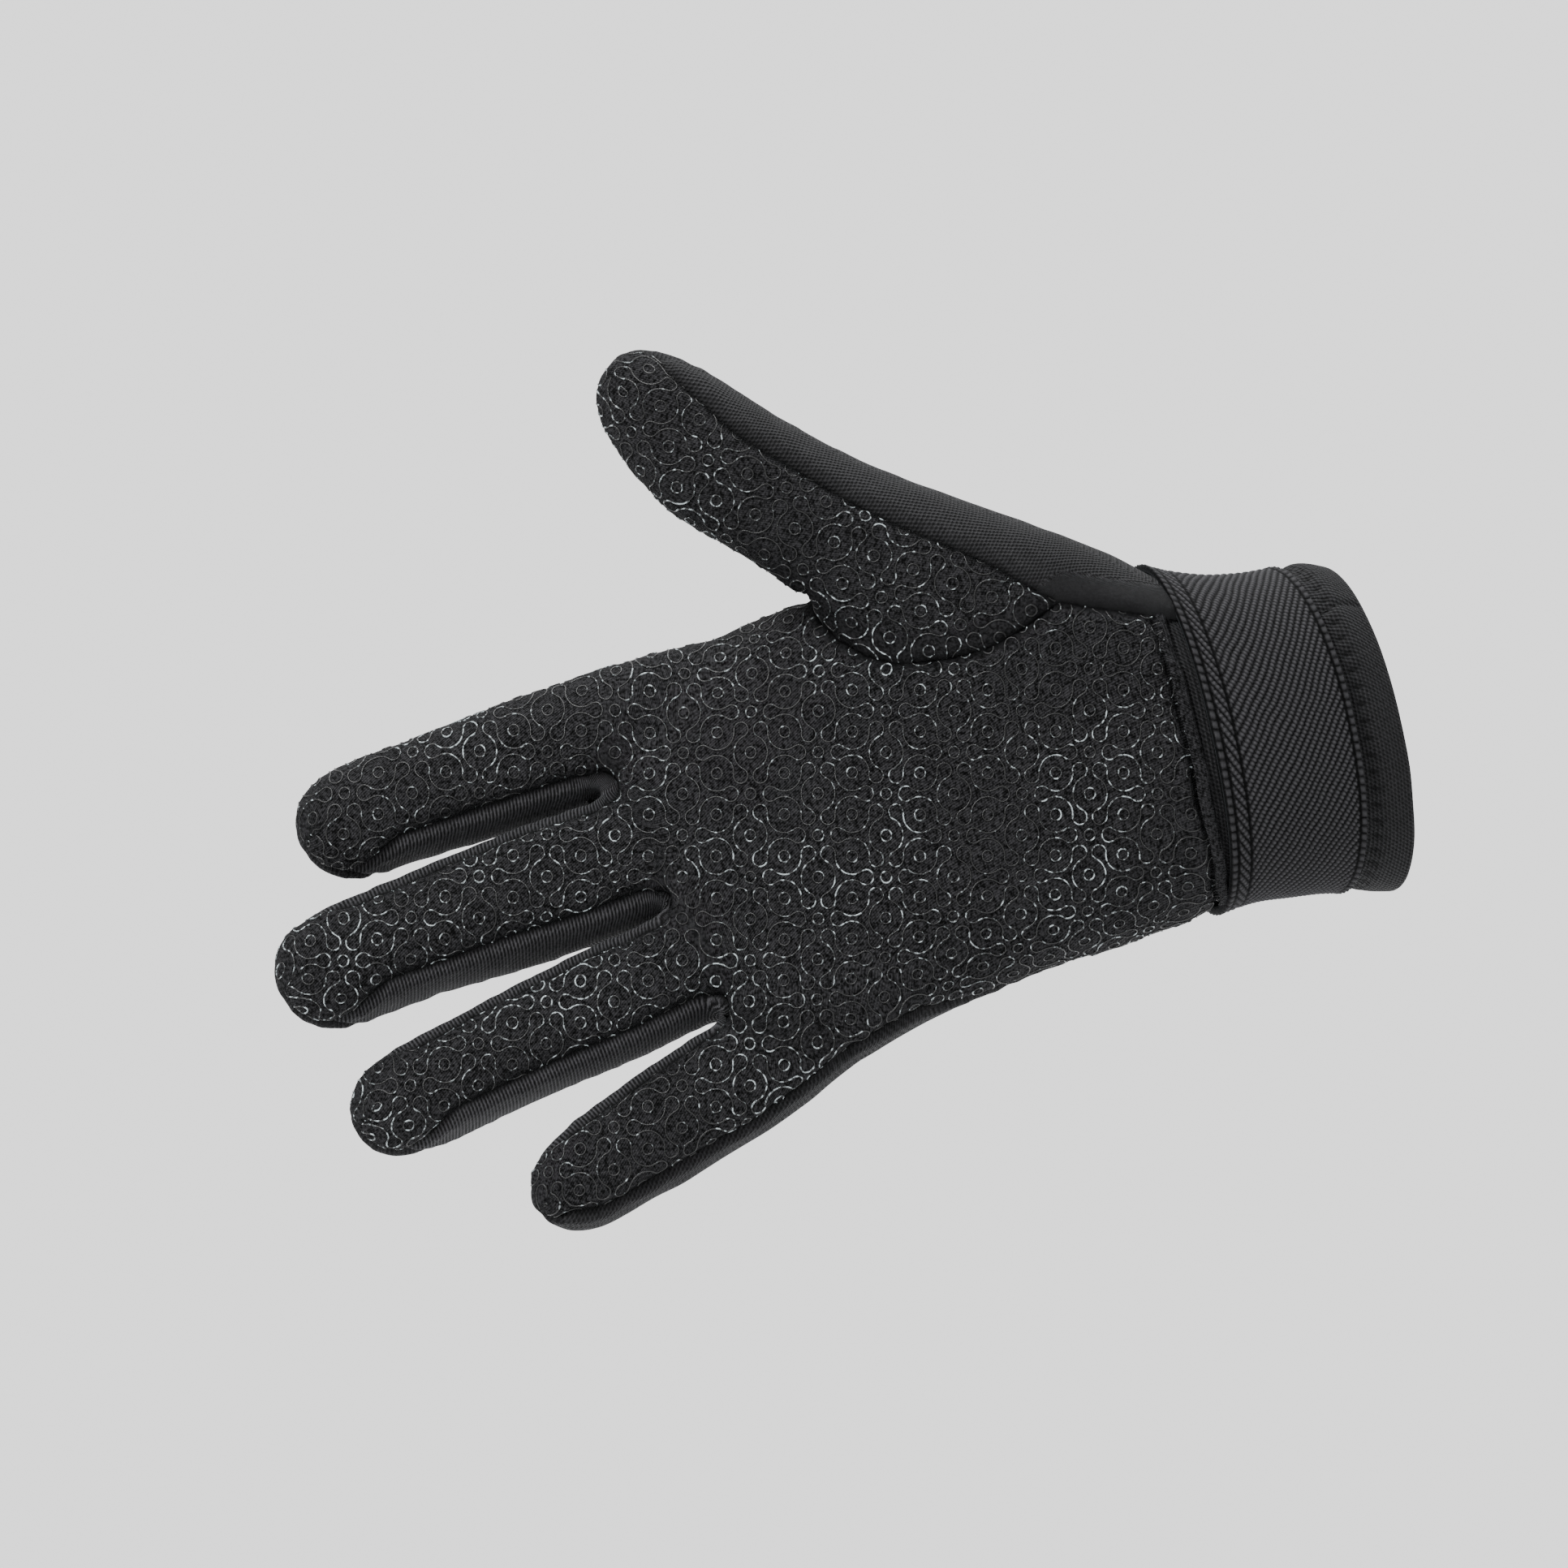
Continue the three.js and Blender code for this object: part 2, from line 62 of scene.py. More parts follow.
def addCamera(s):
    middle = s["imageSize"] / 2
    data = bpy.data.cameras.new("camera")
    data.sensor_width = s["sensor"]
    data.lens = s["sensor"] * s["distance"] / (s["pixel"] * s["imageSize"])
    data.clip_end = s["clipEnd"]
    cam = bpy.data.objects.new("camera", data)
    cam.location = ((middle - s["originPixel"][0]) * s["pixel"] * mm, (s["focusDepth"] - s["distance"]) * mm,
                    (s["originPixel"][1] - middle) * s["pixel"] * mm)
    cam.rotation_euler = (math.pi / 2, 0, 0)
    bpy.context.collection.objects.link(cam)
    bpy.context.scene.camera = cam


# The hand inside the glove: sections along the wrist and palm, in millimetres.
# out is along -X, near is towards the viewer (-Y), rise is up (Z), angles are in degrees
hand = {
    "start": -16, "length": 144.02,
    # out, near, rise, droop, turn, breadth, depth, roll
    "rows": [
        (0.0, 0.0, 0.0, 13, 22, 69.96, 46.92, 0), (6.58, 3.06, 0.33, 12.5, 24, 70.62, 46.92, 0),
        (12.22, 5.64, -0.33, 12.5, 24, 65.34, 44.62, 0), (23.5, 10.58, -1.65, 12.5, 22.5, 64.68, 44.16, 0),
        (30.55, 13.4, -1.98, 12.5, 20.5, 66.0, 43.7, 0.9), (37.6, 15.75, -2.31, 12.5, 18, 69.96, 43.24, 1.8),
        (47.0, 18.57, -2.11, 12.5, 15, 79.2, 42.78, 3.24), (60.72, 22.09, -3.77, 13, 11, 85.1, 40.8, 5.4),
        (80.32, 25.33, -10.58, 15, 7, 84.18, 37.4, 9.9), (99.92, 27.39, -15.45, 17.5, 3.5, 92.0, 34.0, 14.4),
        (117.56, 28.37, -23.82, 20, 1, 92.92, 31.62, 17.1),
        (132.26, 28.37, -30.63, 23.5, 0, 93.38, 28.56, 18),
        (141.08, 28.37, -36.52, 26.5, 0, 87.4, 24.48, 18), (144.02, 28.37, -38.45, 28, 0, 79.12, 17.0, 18)],
    "wristRoundness": 2.1, "palmRoundness": 2.5, "roundFrom": 23.5, "roundTo": 71.5,
}
# x, z, length, droop, breadth of each finger's root and line
fingers = {
    "limbs": [("index", -139.4, 5.8, 88, 18.9, 25.2), ("middle", -136, -20.9, 96.5, 19.8, 26.6),
              ("ring", -129.2, -44.3, 90, 24.9, 23.6), ("little", -115.6, -63.8, 67.5, 32, 23.2)],
    "roll": 20, "flatness": 0.88, "tip": 16, "forward": 0,
    # at, across, curl, breadth, flat, as shares of the length and the breadth
    "rows": [(-0.08, 0, 0, 0.74, 1), (0.1, -0.01, 0.002, 0.96, 1), (0.3, -0.015, 0.008, 1.04, 1),
             (0.5, -0.01, 0.022, 1.01, 1), (0.7, -0.015, 0.05, 0.96, 0.97), (0.85, -0.03, 0.08, 0.92, 0.95),
             (1, -0.075, 0.115, 0.92, 0.92)],
}
thumb = {
    "limbs": [("thumb", -71.4, 19.2, 103.5, -31.1, 27.8)],
    "roll": -14, "flatness": 0.88, "tip": 22, "forward": 6,
    "rows": [(-0.14, 0.05, -0.02, 1.55, 0.62), (0.02, -0.02, 0, 1.67, 0.72),
             (0.16, -0.035, 0.02, 1.52, 0.78), (0.3, -0.04, 0.045, 1.32, 0.84),
             (0.44, -0.04, 0.065, 1.09, 0.95), (0.58, -0.045, 0.085, 1, 1),
             (0.72, -0.045, 0.1, 1.01, 0.97), (0.85, 0.03, 0.11, 0.9, 0.95), (1, 0.13, 0.112, 0.82, 0.92)],
}
limbRoundness = 2.4
limbReach = 1.12   # sections go on this far past the tip, as a share of the length
tableStep = 0.5


def between(rows, column, place):
    # A smooth curve through the rows, straight on past both ends
    keys = np.array([row[0] for row in rows], float)
    values = np.array([row[column] for row in rows], float)
    i = np.clip(np.searchsorted(keys, place) - 1, 0, len(keys) - 2)
    low = np.maximum(i - 1, 0)
    high = np.minimum(i + 2, len(keys) - 1)
    span = keys[i + 1] - keys[i]
    rise = values[i + 1] - values[i]
    t = (place - keys[i]) / span
    leaving = (values[i + 1] - values[low]) / (keys[i + 1] - keys[low]) * span - rise
    arriving = rise - (values[high] - values[i]) / (keys[high] - keys[i]) * span
    bend = np.where((t < 0) | (t > 1), 0, t * (1 - t) * (leaving * (1 - t) + arriving * t))
    return values[i] + t * rise + bend


def stepUp(low, high, value):
    t = np.clip((value - low) / (high - low), 0, 1)
    return t * t * (3 - 2 * t)


def unit(vectors):
    return vectors / np.maximum(np.linalg.norm(vectors, axis=-1, keepdims=True), 1e-9)


def dot(a, b):
    return np.einsum("...i,...i->...", a, b)


def frameRows(centre, normal, upward, roll):
    # sideways = upward less its part along the normal, turned by roll about the normal
    sideways = unit(upward - dot(upward, normal)[:, None] * normal)
    other = np.cross(normal, sideways)
    sideways = sideways * np.cos(roll)[:, None] + other * np.sin(roll)[:, None]
    forward = unit(np.cross(sideways, normal))
    return np.concatenate([centre, normal, sideways, forward], axis=1)


def handBody(s):
    place = np.arange(s["start"], s["length"] + tableStep, tableStep)
    near, rise, droop, turn, breadth, depth, roll = [between(s["rows"], k, place) for k in range(1, 8)]
    droop, turn, roll = np.radians(droop), np.radians(turn), np.radians(roll)
    normal = np.stack([-np.cos(droop) * np.cos(turn), -np.cos(droop) * np.sin(turn), -np.sin(droop)], 1)
    centre = np.stack([-place, -near, rise], 1)
    upward = np.tile([0.0, 0.0, 1.0], (len(place), 1))
    share = stepUp(s["roundFrom"], s["roundTo"], place)
    roundness = s["wristRoundness"] + (s["palmRoundness"] - s["wristRoundness"]) * share
    rows = np.column_stack([frameRows(centre, normal, upward, roll), breadth / 2, depth / 2, roundness])
    return {"rows": rows, "start": s["start"], "end": s["length"], "base": np.zeros(3),
            "along": np.array([-1.0, 0, 0]), "tip": 0, "open": True}


def palmPlane(x, z):
    out = np.clip(np.array([-x]), 0, hand["length"])
    tilt = np.tan(np.radians(between(hand["rows"], 7, out)))
    return float((-between(hand["rows"], 1, out) + (z - between(hand["rows"], 2, out)) * tilt)[0])


def limbBody(s, limb):
    x, z, length, droop, breadth = limb[1:]
    droop = math.radians(droop)
    base = np.array([x, palmPlane(x, z) - s["forward"], z])
    along = np.array([-math.cos(droop), 0, -math.sin(droop)])
    upward = np.array([-math.sin(droop), 0, math.cos(droop)])
    start = s["rows"][0][0] * length
    place = np.arange(start, length * limbReach, tableStep)

    def centreAt(at):
        return (base + at[:, None] * length * along + between(s["rows"], 1, at)[:, None] * breadth * upward
                + between(s["rows"], 2, at)[:, None] * length * np.array([0, -1.0, 0]))

    at = place / length
    normal = unit(centreAt(at + 0.01) - centreAt(at - 0.01))
    halfBreadth = between(s["rows"], 3, at) * breadth / 2
    halfDepth = halfBreadth * s["flatness"] * between(s["rows"], 4, at)
    roll = np.full(len(place), math.radians(s["roll"]))
    sideFrame = frameRows(centreAt(at), normal, np.tile(upward, (len(place), 1)), roll)
    rows = np.column_stack([sideFrame, halfBreadth, halfDepth, np.full(len(place), limbRoundness)])
    return {"rows": rows, "start": start, "end": length, "base": base, "along": along, "tip": s["tip"],
            "open": False, "breadth": breadth}


def rowAt(body, place):
    spot = np.clip((place - body["start"]) / tableStep, 0, len(body["rows"]) - 1.001)
    i = spot.astype(int)
    t = (spot - i)[:, None]
    return body["rows"][i] * (1 - t) + body["rows"][i + 1] * t


def measure(body, points):
    # Where each point is on a body: place along it, u to the thumb side, v to the front, and its distance,
    # (r - 1) over the slope of r, with r the superellipse norm of (u / a, v / b, share of the tip)
    place = (points - body["base"]) @ body["along"]
    last = body["start"] + (len(body["rows"]) - 1) * tableStep
    for _ in range(3):
        held = np.clip(place, body["start"], last)
        row = rowAt(body, held)
        place = held + dot(points - row[:, 0:3], row[:, 3:6])
    past = np.maximum(place - body["end"], 0) if body["open"] else np.zeros(len(points))
    row = rowAt(body, np.clip(place, body["start"], last))
    off = points - row[:, 0:3]
    u = dot(off, row[:, 6:9])
    v = dot(off, row[:, 9:12])
    a, b, n = row[:, 12], row[:, 13], row[:, 14]
    tip = 1
    w = np.zeros(len(points))
    if not body["open"]:
        tip = body["tip"]
        w = np.maximum(place - (body["end"] - tip), 0) + np.maximum(body["start"] - place, 0)
    shares = np.stack([np.abs(u) / a, np.abs(v) / b, w / tip])
    r = np.maximum((shares ** n).sum(0) ** (1 / n), 0.05)
    steep = (shares / r) ** (n - 1) / np.stack([a, b, np.full(len(a), tip)])
    distance = (r - 1) / np.maximum(np.sqrt((steep * steep).sum(0)), 1 / a)
    distance = np.where(past > 0, np.maximum(distance, past), distance)
    return {"place": place, "u": u, "v": v, "a": a, "b": b, "distance": distance, "sideways": row[:, 6:9]}


def blend(a, b, width):
    # The lesser of two distances, with a soft fillet of the width
    share = np.maximum(width - np.abs(a - b), 0) / width
    return np.minimum(a, b) - share * share * width / 4


handForm = handBody(hand)
fingerForms = [limbBody(fingers, limb) for limb in fingers["limbs"]]
thumbForm = limbBody(thumb, thumb["limbs"][0])
form = {"fingerFillet": 1.6, "palmFillet": 6, "thumbFillet": 6, "cell": 0.95, "coarse": 4, "chunk": 400000,
        "low": (-234.0, -60.0, -108.0), "high": (-17.0, 18.0, 84.0)}


def formDistance(points, keep=False):
    palm = measure(handForm, points)
    each = [measure(body, points) for body in fingerForms]
    side = measure(thumbForm, points)
    d = each[0]["distance"]
    for other in each[1:]:
        d = blend(d, other["distance"], form["fingerFillet"])
    d = blend(palm["distance"], d, form["palmFillet"])
    d = blend(d, side["distance"], form["thumbFillet"])
    if keep:
        return d, palm, each, side
    return d


def slopeOf(points):
    step = 0.05
    shifts = np.eye(3) * step
    return np.stack([(formDistance(points + s) - formDistance(points - s)) / (2 * step) for s in shifts], 1)


def ontoForm(points, rounds):
    for _ in range(rounds):
        slope = slopeOf(points)
        points = points - (formDistance(points) / np.maximum(dot(slope, slope), 0.2))[:, None] * slope
    return points


# A net of quads over the surface where the distance is nothing: one point in every cell that it
# passes through, at the mean of its crossings of the cell's edges
def netOver(low, high, cell, coarse):
    block = cell * coarse
    blocks = np.ceil((high - low) / block).astype(int)
    marks = [low[k] + block * (np.arange(blocks[k]) + 0.5) for k in range(3)]
    middles = np.stack(np.meshgrid(*marks, indexing="ij"), -1).reshape(-1, 3)
    rough = formDistance(middles).reshape(blocks)
    near = np.abs(rough) < block * 1.5
    grow = np.ones((coarse, coarse, coarse), bool)
    nearFine = np.kron(near, grow)
    field = np.kron(np.where(rough < 0, -9.0, 9.0), grow)
    spots = np.argwhere(nearFine)
    values = np.empty(len(spots))
    chunk = form["chunk"]
    for k in range(0, len(spots), chunk):
        values[k:k + chunk] = formDistance(low + cell * (spots[k:k + chunk] + 0.5))
    field[nearFine] = values
    inside = field < 0
    corners = np.array([(i, j, k) for i in (0, 1) for j in (0, 1) for k in (0, 1)])
    size = np.array(field.shape) - 1
    total = np.zeros(size, int)
    for i, j, k in corners:
        total += inside[i:i + size[0], j:j + size[1], k:k + size[2]]
    cells = np.argwhere((total > 0) & (total < 8))
    number = np.full(size, -1)
    number[tuple(cells.T)] = np.arange(len(cells))
    at = [tuple((cells + c).T) for c in corners]
    level = np.stack([field[spot] for spot in at], 1)
    points = np.zeros((len(cells), 3))
    count = np.zeros(len(cells))
    for p in range(8):
        for q in range(p + 1, 8):
            if np.abs(corners[p] - corners[q]).sum() != 1:
                continue
            crosses = (level[:, p] < 0) != (level[:, q] < 0)
            t = level[:, p] / np.where(crosses, level[:, p] - level[:, q], 1)
            points += np.where(crosses[:, None], corners[p] + (corners[q] - corners[p]) * t[:, None], 0)
            count += crosses
    points = low + cell * (cells + points / count[:, None] + 0.5)
    faces = []
    for axis in range(3):
        one, two = [(1, 2), (2, 0), (0, 1)][axis]
        ends = [slice(None)] * 3
        ends[axis] = slice(0, -1)
        after = [slice(None)] * 3
        after[axis] = slice(1, None)
        edges = np.argwhere(inside[tuple(ends)] != inside[tuple(after)])
        edges = edges[(edges[:, one] > 0) & (edges[:, two] > 0)]
        edges = edges[(edges < size).all(1)]
        ring = []
        for a, b in [(-1, -1), (0, -1), (0, 0), (-1, 0)]:
            spot = edges.copy()
            spot[:, one] += a
            spot[:, two] += b
            ring.append(number[tuple(spot.T)])
        quad = np.stack(ring, 1)
        starts = inside[tuple(edges.T)]
        faces.append(np.where(starts[:, None], quad, quad[:, ::-1]))
    faces = np.concatenate(faces)
    return points, faces[(faces >= 0).all(1)]


def relax(points, faces, rounds):
    # Each point goes most of the way to the mean of its neighbours
    pairs = np.concatenate([faces[:, [k, (k + 1) % 4]] for k in range(4)])
    pairs = np.concatenate([pairs, pairs[:, ::-1]])
    count = np.maximum(np.bincount(pairs[:, 0], minlength=len(points)), 1)
    for _ in range(rounds):
        mean = np.stack([np.bincount(pairs[:, 0], points[pairs[:, 1], k], len(points)) for k in range(3)], 1)
        points = points + 0.6 * (mean / count[:, None] - points)
    return points


netPoints, netFaces = netOver(np.array(form["low"]), np.array(form["high"]), form["cell"], form["coarse"])
netPoints = ontoForm(relax(netPoints, netFaces, 3), 2)
print("glove surface", len(netPoints), "points")

# Where the panels meet, read off as curves in the front view (x, z)
seams = {
    "hole": [(-260, 43), (-116.5, 27.4), (-114.6, 22.3), (-110.7, 18.4), (-104.7, 15.1), (-98.3, 13.4),
             (-91.8, 13.8), (-85.3, 14.8), (-78.7, 16.7), (-72.3, 20.2), (-65.8, 24.8), (-63.6, 26.5),
             (-41, 23.3), (-10, 21)],
    "holeEnd": -63.8, "thumbShare": 0.34, "thumbRise": 0.16, "stripShare": 0.72,
    "bodyReach": 1.5, "stripReach": 1, "stripStart": 14, "taperFrom": 0.78, "taperTo": 1.015, "taper": 1.25,
    "wrapFrom": 78, "wrapTo": 95, "wrap": 5,
    "hemOut": 39.16, "hemSlant": 14, "hemBow": 2.5, "backOut": 27.1, "backSlant": 13, "bowHalf": 46,
}


def pastCut(points, out, slant, bow):
    # How far along -X a point is past a slanting cut across the wrist that bows in the middle
    lean = math.tan(math.radians(slant))
    return -points[:, 0] - out - points[:, 2] * lean + bow * (1 - (points[:, 2] / seams["bowHalf"]) ** 2)


def closeness(distance, reach):
    return np.exp(-np.clip(distance, -4, 25) / reach)


def seamFields(points):
    # Signed distances to the seams: each is above 0 inside its own panel
    s = seams
    d, palm, each, side = formDistance(points, keep=True)
    bodies = [palm] + each
    weights = np.stack([closeness(m["distance"], s["bodyReach"]) for m in bodies], 1)
    weights = weights / weights.sum(1, keepdims=True)
    depth = sum(weights[:, k] * m["v"] for k, m in enumerate(bodies))
    little = each[3]
    wrapped = stepUp(s["wrapFrom"], s["wrapTo"], -points[:, 0]) * stepUp(2, 6, -little["u"])
    depth = depth - s["wrap"] * wrapped * (side["distance"] > 3)
    curve = np.array(s["hole"])
    order = np.argsort(curve[:, 0])
    height = np.interp(points[:, 0], curve[order, 0], curve[order, 1])
    above = (points[:, 2] - height) * 0.9
    hem = pastCut(points, s["hemOut"], s["hemSlant"], s["hemBow"])
    back = pastCut(points, s["backOut"], s["backSlant"], 0)
    palmField = np.minimum(depth, -above)
    share = s["thumbShare"] + s["thumbRise"] * (1 - stepUp(10, 50, side["place"]))
    thumbTop = share * thumbForm["breadth"] - side["u"]
    thumbField = np.minimum(np.minimum(thumbTop, side["v"]), np.minimum(above, s["holeEnd"] - points[:, 0]))
    strips = []
    for k in range(3):
        upper, lower = each[k], each[k + 1]
        nearUpper = closeness(upper["distance"], s["stripReach"])
        share = nearUpper / (nearUpper + closeness(lower["distance"], s["stripReach"]))
        v = share * upper["v"] + (1 - share) * lower["v"]
        ends = [fingers["limbs"][k][3], fingers["limbs"][k + 1][3]]
        wide = []
        for m, length in zip((upper, lower), ends):
            narrower = s["taper"] * stepUp(s["taperFrom"], s["taperTo"], m["place"] / length)
            wide.append(m["b"] * s["stripShare"] * (1 - narrower))
        width = share * wide[0] + (1 - share) * wide[1]
        start = np.minimum(upper["place"], lower["place"]) + s["stripStart"]
        sides = np.minimum(np.minimum(-upper["u"], lower["u"]), start)
        strips.append(np.minimum(width - np.abs(v), sides))
    return {"palm": palmField, "thumb": thumbField, "strips": np.stack(strips, 1), "hem": hem, "back": back,
            "bodies": bodies + [side], "weights": weights, "above": above}


noiseSize = 48   # lattice points each way, after which the noise repeats


def noise(points, cell, seed):
    # Smooth noise between -1 and 1: random heights on a lattice, blended softly
    lattice = np.random.default_rng(seed).uniform(-1, 1, (noiseSize, noiseSize, noiseSize))
    spot = points / cell
    i = np.floor(spot).astype(int)
    t = spot - i
    t = t * t * (3 - 2 * t)
    total = 0
    for a in (0, 1):
        for b in (0, 1):
            for c in (0, 1):
                w = np.abs(1 - a - t[:, 0]) * np.abs(1 - b - t[:, 1]) * np.abs(1 - c - t[:, 2])
                x, y, z = [(i[:, k] + shift) % noiseSize for k, shift in enumerate((a, b, c))]
                total = total + w * lattice[x, y, z]
    return total


relief = {"groove": 1.0, "grooveWidth": 0.95, "puff": 0.3, "puffAt": 2.3, "puffWidth": 1.5, "pucker": 0.34,
          "puckerCell": 2.2, "wrinkle": 0.55, "wrinkleCell": 15, "crease": 0.2, "creaseCell": 5.5,
          "uneven": 0.35, "unevenCell": 1.6, "puckerWidth": 3.6, "wrinkleSquash": (0.7, 1, 1.2)}


def liftOf(points, seam, s):
    # A narrow groove at the seam with the cloth puffed up beside it, small puckers, and soft wrinkles
    ragged = 1 + s["uneven"] * noise(points, s["unevenCell"], 9)
    lift = -s["groove"] * np.exp(-(seam / s["grooveWidth"]) ** 2) * ragged
    lift += s["puff"] * np.exp(-((seam - s["puffAt"]) / s["puffWidth"]) ** 2)
    lift += s["pucker"] * noise(points, s["puckerCell"], 3) * np.exp(-(seam / s["puckerWidth"]) ** 2)
    lift += s["wrinkle"] * noise(points * s["wrinkleSquash"], s["wrinkleCell"], 5)
    return lift + s["crease"] * noise(points, s["creaseCell"], 7)


leastCut = 0.015   # keeps a cut this far from the corners of a triangle, in millimetres


def cutMesh(tri, data, f, seam=None):
    # Cuts the triangles along f = 0, gives the part above it and the part below it
    f = np.where(np.abs(f) < leastCut, np.where(f >= 0, leastCut, -leastCut), f)
    up = f > 0
    count = up[tri].sum(1)
    mixed = tri[(count == 1) | (count == 2)]
    alone = count[(count == 1) | (count == 2)] == 1
    lone = np.argmax(up[mixed] == alone[:, None], axis=1)
    rows = np.arange(len(mixed))
    a, b, c = [mixed[rows, (lone + k) % 3] for k in range(3)]
    edges = np.concatenate([np.stack([a, b], 1), np.stack([a, c], 1)])
    edges.sort(axis=1)
    keys, place = np.unique(edges[:, 0] * len(data) + edges[:, 1], return_inverse=True)
    one, two = keys // len(data), keys % len(data)
    t = (f[one] / (f[one] - f[two]))[:, None]
    fresh = data[one] * (1 - t) + data[two] * t
    if seam is not None:
        fresh[:, seam] = 0
    place = place.reshape(-1) + len(data)
    ab, ac = place[:len(mixed)], place[len(mixed):]
    tips = np.stack([a, ab, ac], 1)
    rest = np.concatenate([np.stack([ab, b, c], 1), np.stack([ab, c, ac], 1)])
    restAlone = np.concatenate([alone, alone])
    every = np.concatenate([data, fresh])
    parts = []
    for above in (True, False):
        whole = tri[count == (3 if above else 0)]
        mine = np.concatenate([whole, tips[alone == above], rest[restAlone != above]])
        used, number = np.unique(mine, return_inverse=True)
        parts.append((number.reshape(-1, 3), every[used]))
    return parts


def arcExtra(m):
    # How much longer the way over the surface is than straight across: 0.57 is a quarter turn less a radius
    rise = np.clip(1 - m["v"] / m["b"], 0, 1)
    return 0.57 * m["b"] * rise ** 1.6 * np.sign(m["u"])


# Coordinates on the cloth: course along the hand, around across it, and the flat print plane
fields = seamFields(netPoints)
stripField = fields["strips"]
seamDistance = np.minimum(np.abs(fields["palm"]), np.abs(fields["thumb"]))
seamDistance = np.where(fields["palm"] > 0, np.minimum(seamDistance, np.abs(fields["hem"] - 1.4) + 0.15),
                        seamDistance)
inStrip = (stripField > 0).any(1)
seamDistance = np.where(inStrip, 99, seamDistance)
seamDistance = np.minimum(seamDistance, np.abs(stripField).min(1))
slope = unit(slopeOf(netPoints))

bodies = fields["bodies"]
weights = fields["weights"]
course = weights[:, 0] * bodies[0]["place"]
around = weights[:, 0] * bodies[0]["u"]
pattern = np.stack([netPoints[:, 0], netPoints[:, 2]], 1)
for k in range(4):
    m = bodies[k + 1]
    course = course + weights[:, k + 1] * (m["place"] - fingers["limbs"][k][1])
    around = around + weights[:, k + 1] * (m["u"] + arcExtra(m))
    pattern = pattern + (weights[:, k + 1] * arcExtra(m))[:, None] * m["sideways"][:, [0, 2]]
pattern = pattern + (weights[:, 0] * arcExtra(bodies[0]))[:, None] * bodies[0]["sideways"][:, [0, 2]]
squeeze = {"centre": -85.9, "share": 0.94}   # the worn cloth draws the palm's print together along X
pattern[:, 0] = squeeze["centre"] + (pattern[:, 0] - squeeze["centre"]) / squeeze["share"]
side = bodies[5]
onThumb = stepUp(-2, 6, fields["above"]) * (side["distance"] < 4)
course = course * (1 - onThumb) + side["place"] * onThumb
around = around * (1 - onThumb) + (side["u"] + arcExtra(side)) * onThumb
thumbPattern = np.stack([netPoints[:, 0], netPoints[:, 2]], 1)
thumbPattern = thumbPattern + arcExtra(side)[:, None] * side["sideways"][:, [0, 2]]

tri = np.concatenate([netFaces[:, [0, 1, 2]], netFaces[:, [0, 2, 3]]])
corner = netPoints[tri]
outward = dot(np.cross(corner[:, 1] - corner[:, 0], corner[:, 2] - corner[:, 0]), slope[tri[:, 0]])
if outward.mean() < 0:
    tri = tri[:, ::-1]
data = np.column_stack([netPoints, course, around, slope, pattern, thumbPattern, fields["palm"],
                        fields["thumb"], stripField, fields["hem"], fields["back"], seamDistance])
columns = {"course": 3, "around": 4, "slope": 5, "pattern": 8, "thumbPattern": 10, "palm": 12, "thumb": 13,
           "strips": 14, "hem": 17, "back": 18, "seam": 19}
stripMeshes = []
for k in range(3):
    cut, rest = cutMesh(tri, data, data[:, columns["strips"] + k], columns["seam"])
    stripMeshes.append(cut)
    tri, data = rest
thumbMesh, (tri, data) = cutMesh(tri, data, data[:, columns["thumb"]], columns["seam"])
palmMesh, (tri, data) = cutMesh(tri, data, data[:, columns["palm"]], columns["seam"])
palmMesh = cutMesh(*palmMesh, palmMesh[1][:, columns["hem"]])[0]
backMesh = cutMesh(tri, data, data[:, columns["back"]])[0]
for faces, rows in [palmMesh, thumbMesh, backMesh] + stripMeshes:
    lift = liftOf(rows[:, :3], rows[:, columns["seam"]], relief)
    rows[:, :3] += rows[:, columns["slope"]:columns["slope"] + 3] * lift[:, None]
print("panels cut")


def newPiece(name, points, faces, material, replaced=(), values=None):
    mesh = bpy.data.meshes.new(name)
    mesh.vertices.add(len(points))
    mesh.vertices.foreach_set("co", (np.asarray(points) * mm).astype(np.float32).ravel())
    loops = np.concatenate([np.asarray(f).ravel() for f in faces])
    sizes = np.concatenate([np.full(len(f), len(f[0])) for f in faces])
    starts = np.concatenate([[0], np.cumsum(sizes)[:-1]])
    mesh.loops.add(len(loops))
    mesh.loops.foreach_set("vertex_index", loops.astype(np.int32))
    mesh.polygons.add(len(sizes))
    mesh.polygons.foreach_set("loop_start", starts.astype(np.int32))
    mesh.polygons.foreach_set("use_smooth", np.ones(len(sizes), bool))
    mesh.update(calc_edges=True)
    mesh.validate()
    for key, numbers in (values or {}).items():
        layer = mesh.attributes.new(key, "FLOAT", "POINT")
        layer.data.foreach_set("value", np.asarray(numbers, np.float32))
    mesh.materials.append(material)
    piece = bpy.data.objects.new(name, mesh)
    bpy.context.collection.objects.link(piece)
    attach(piece, "root")
    for node in replaced:
        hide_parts(node)
    return piece


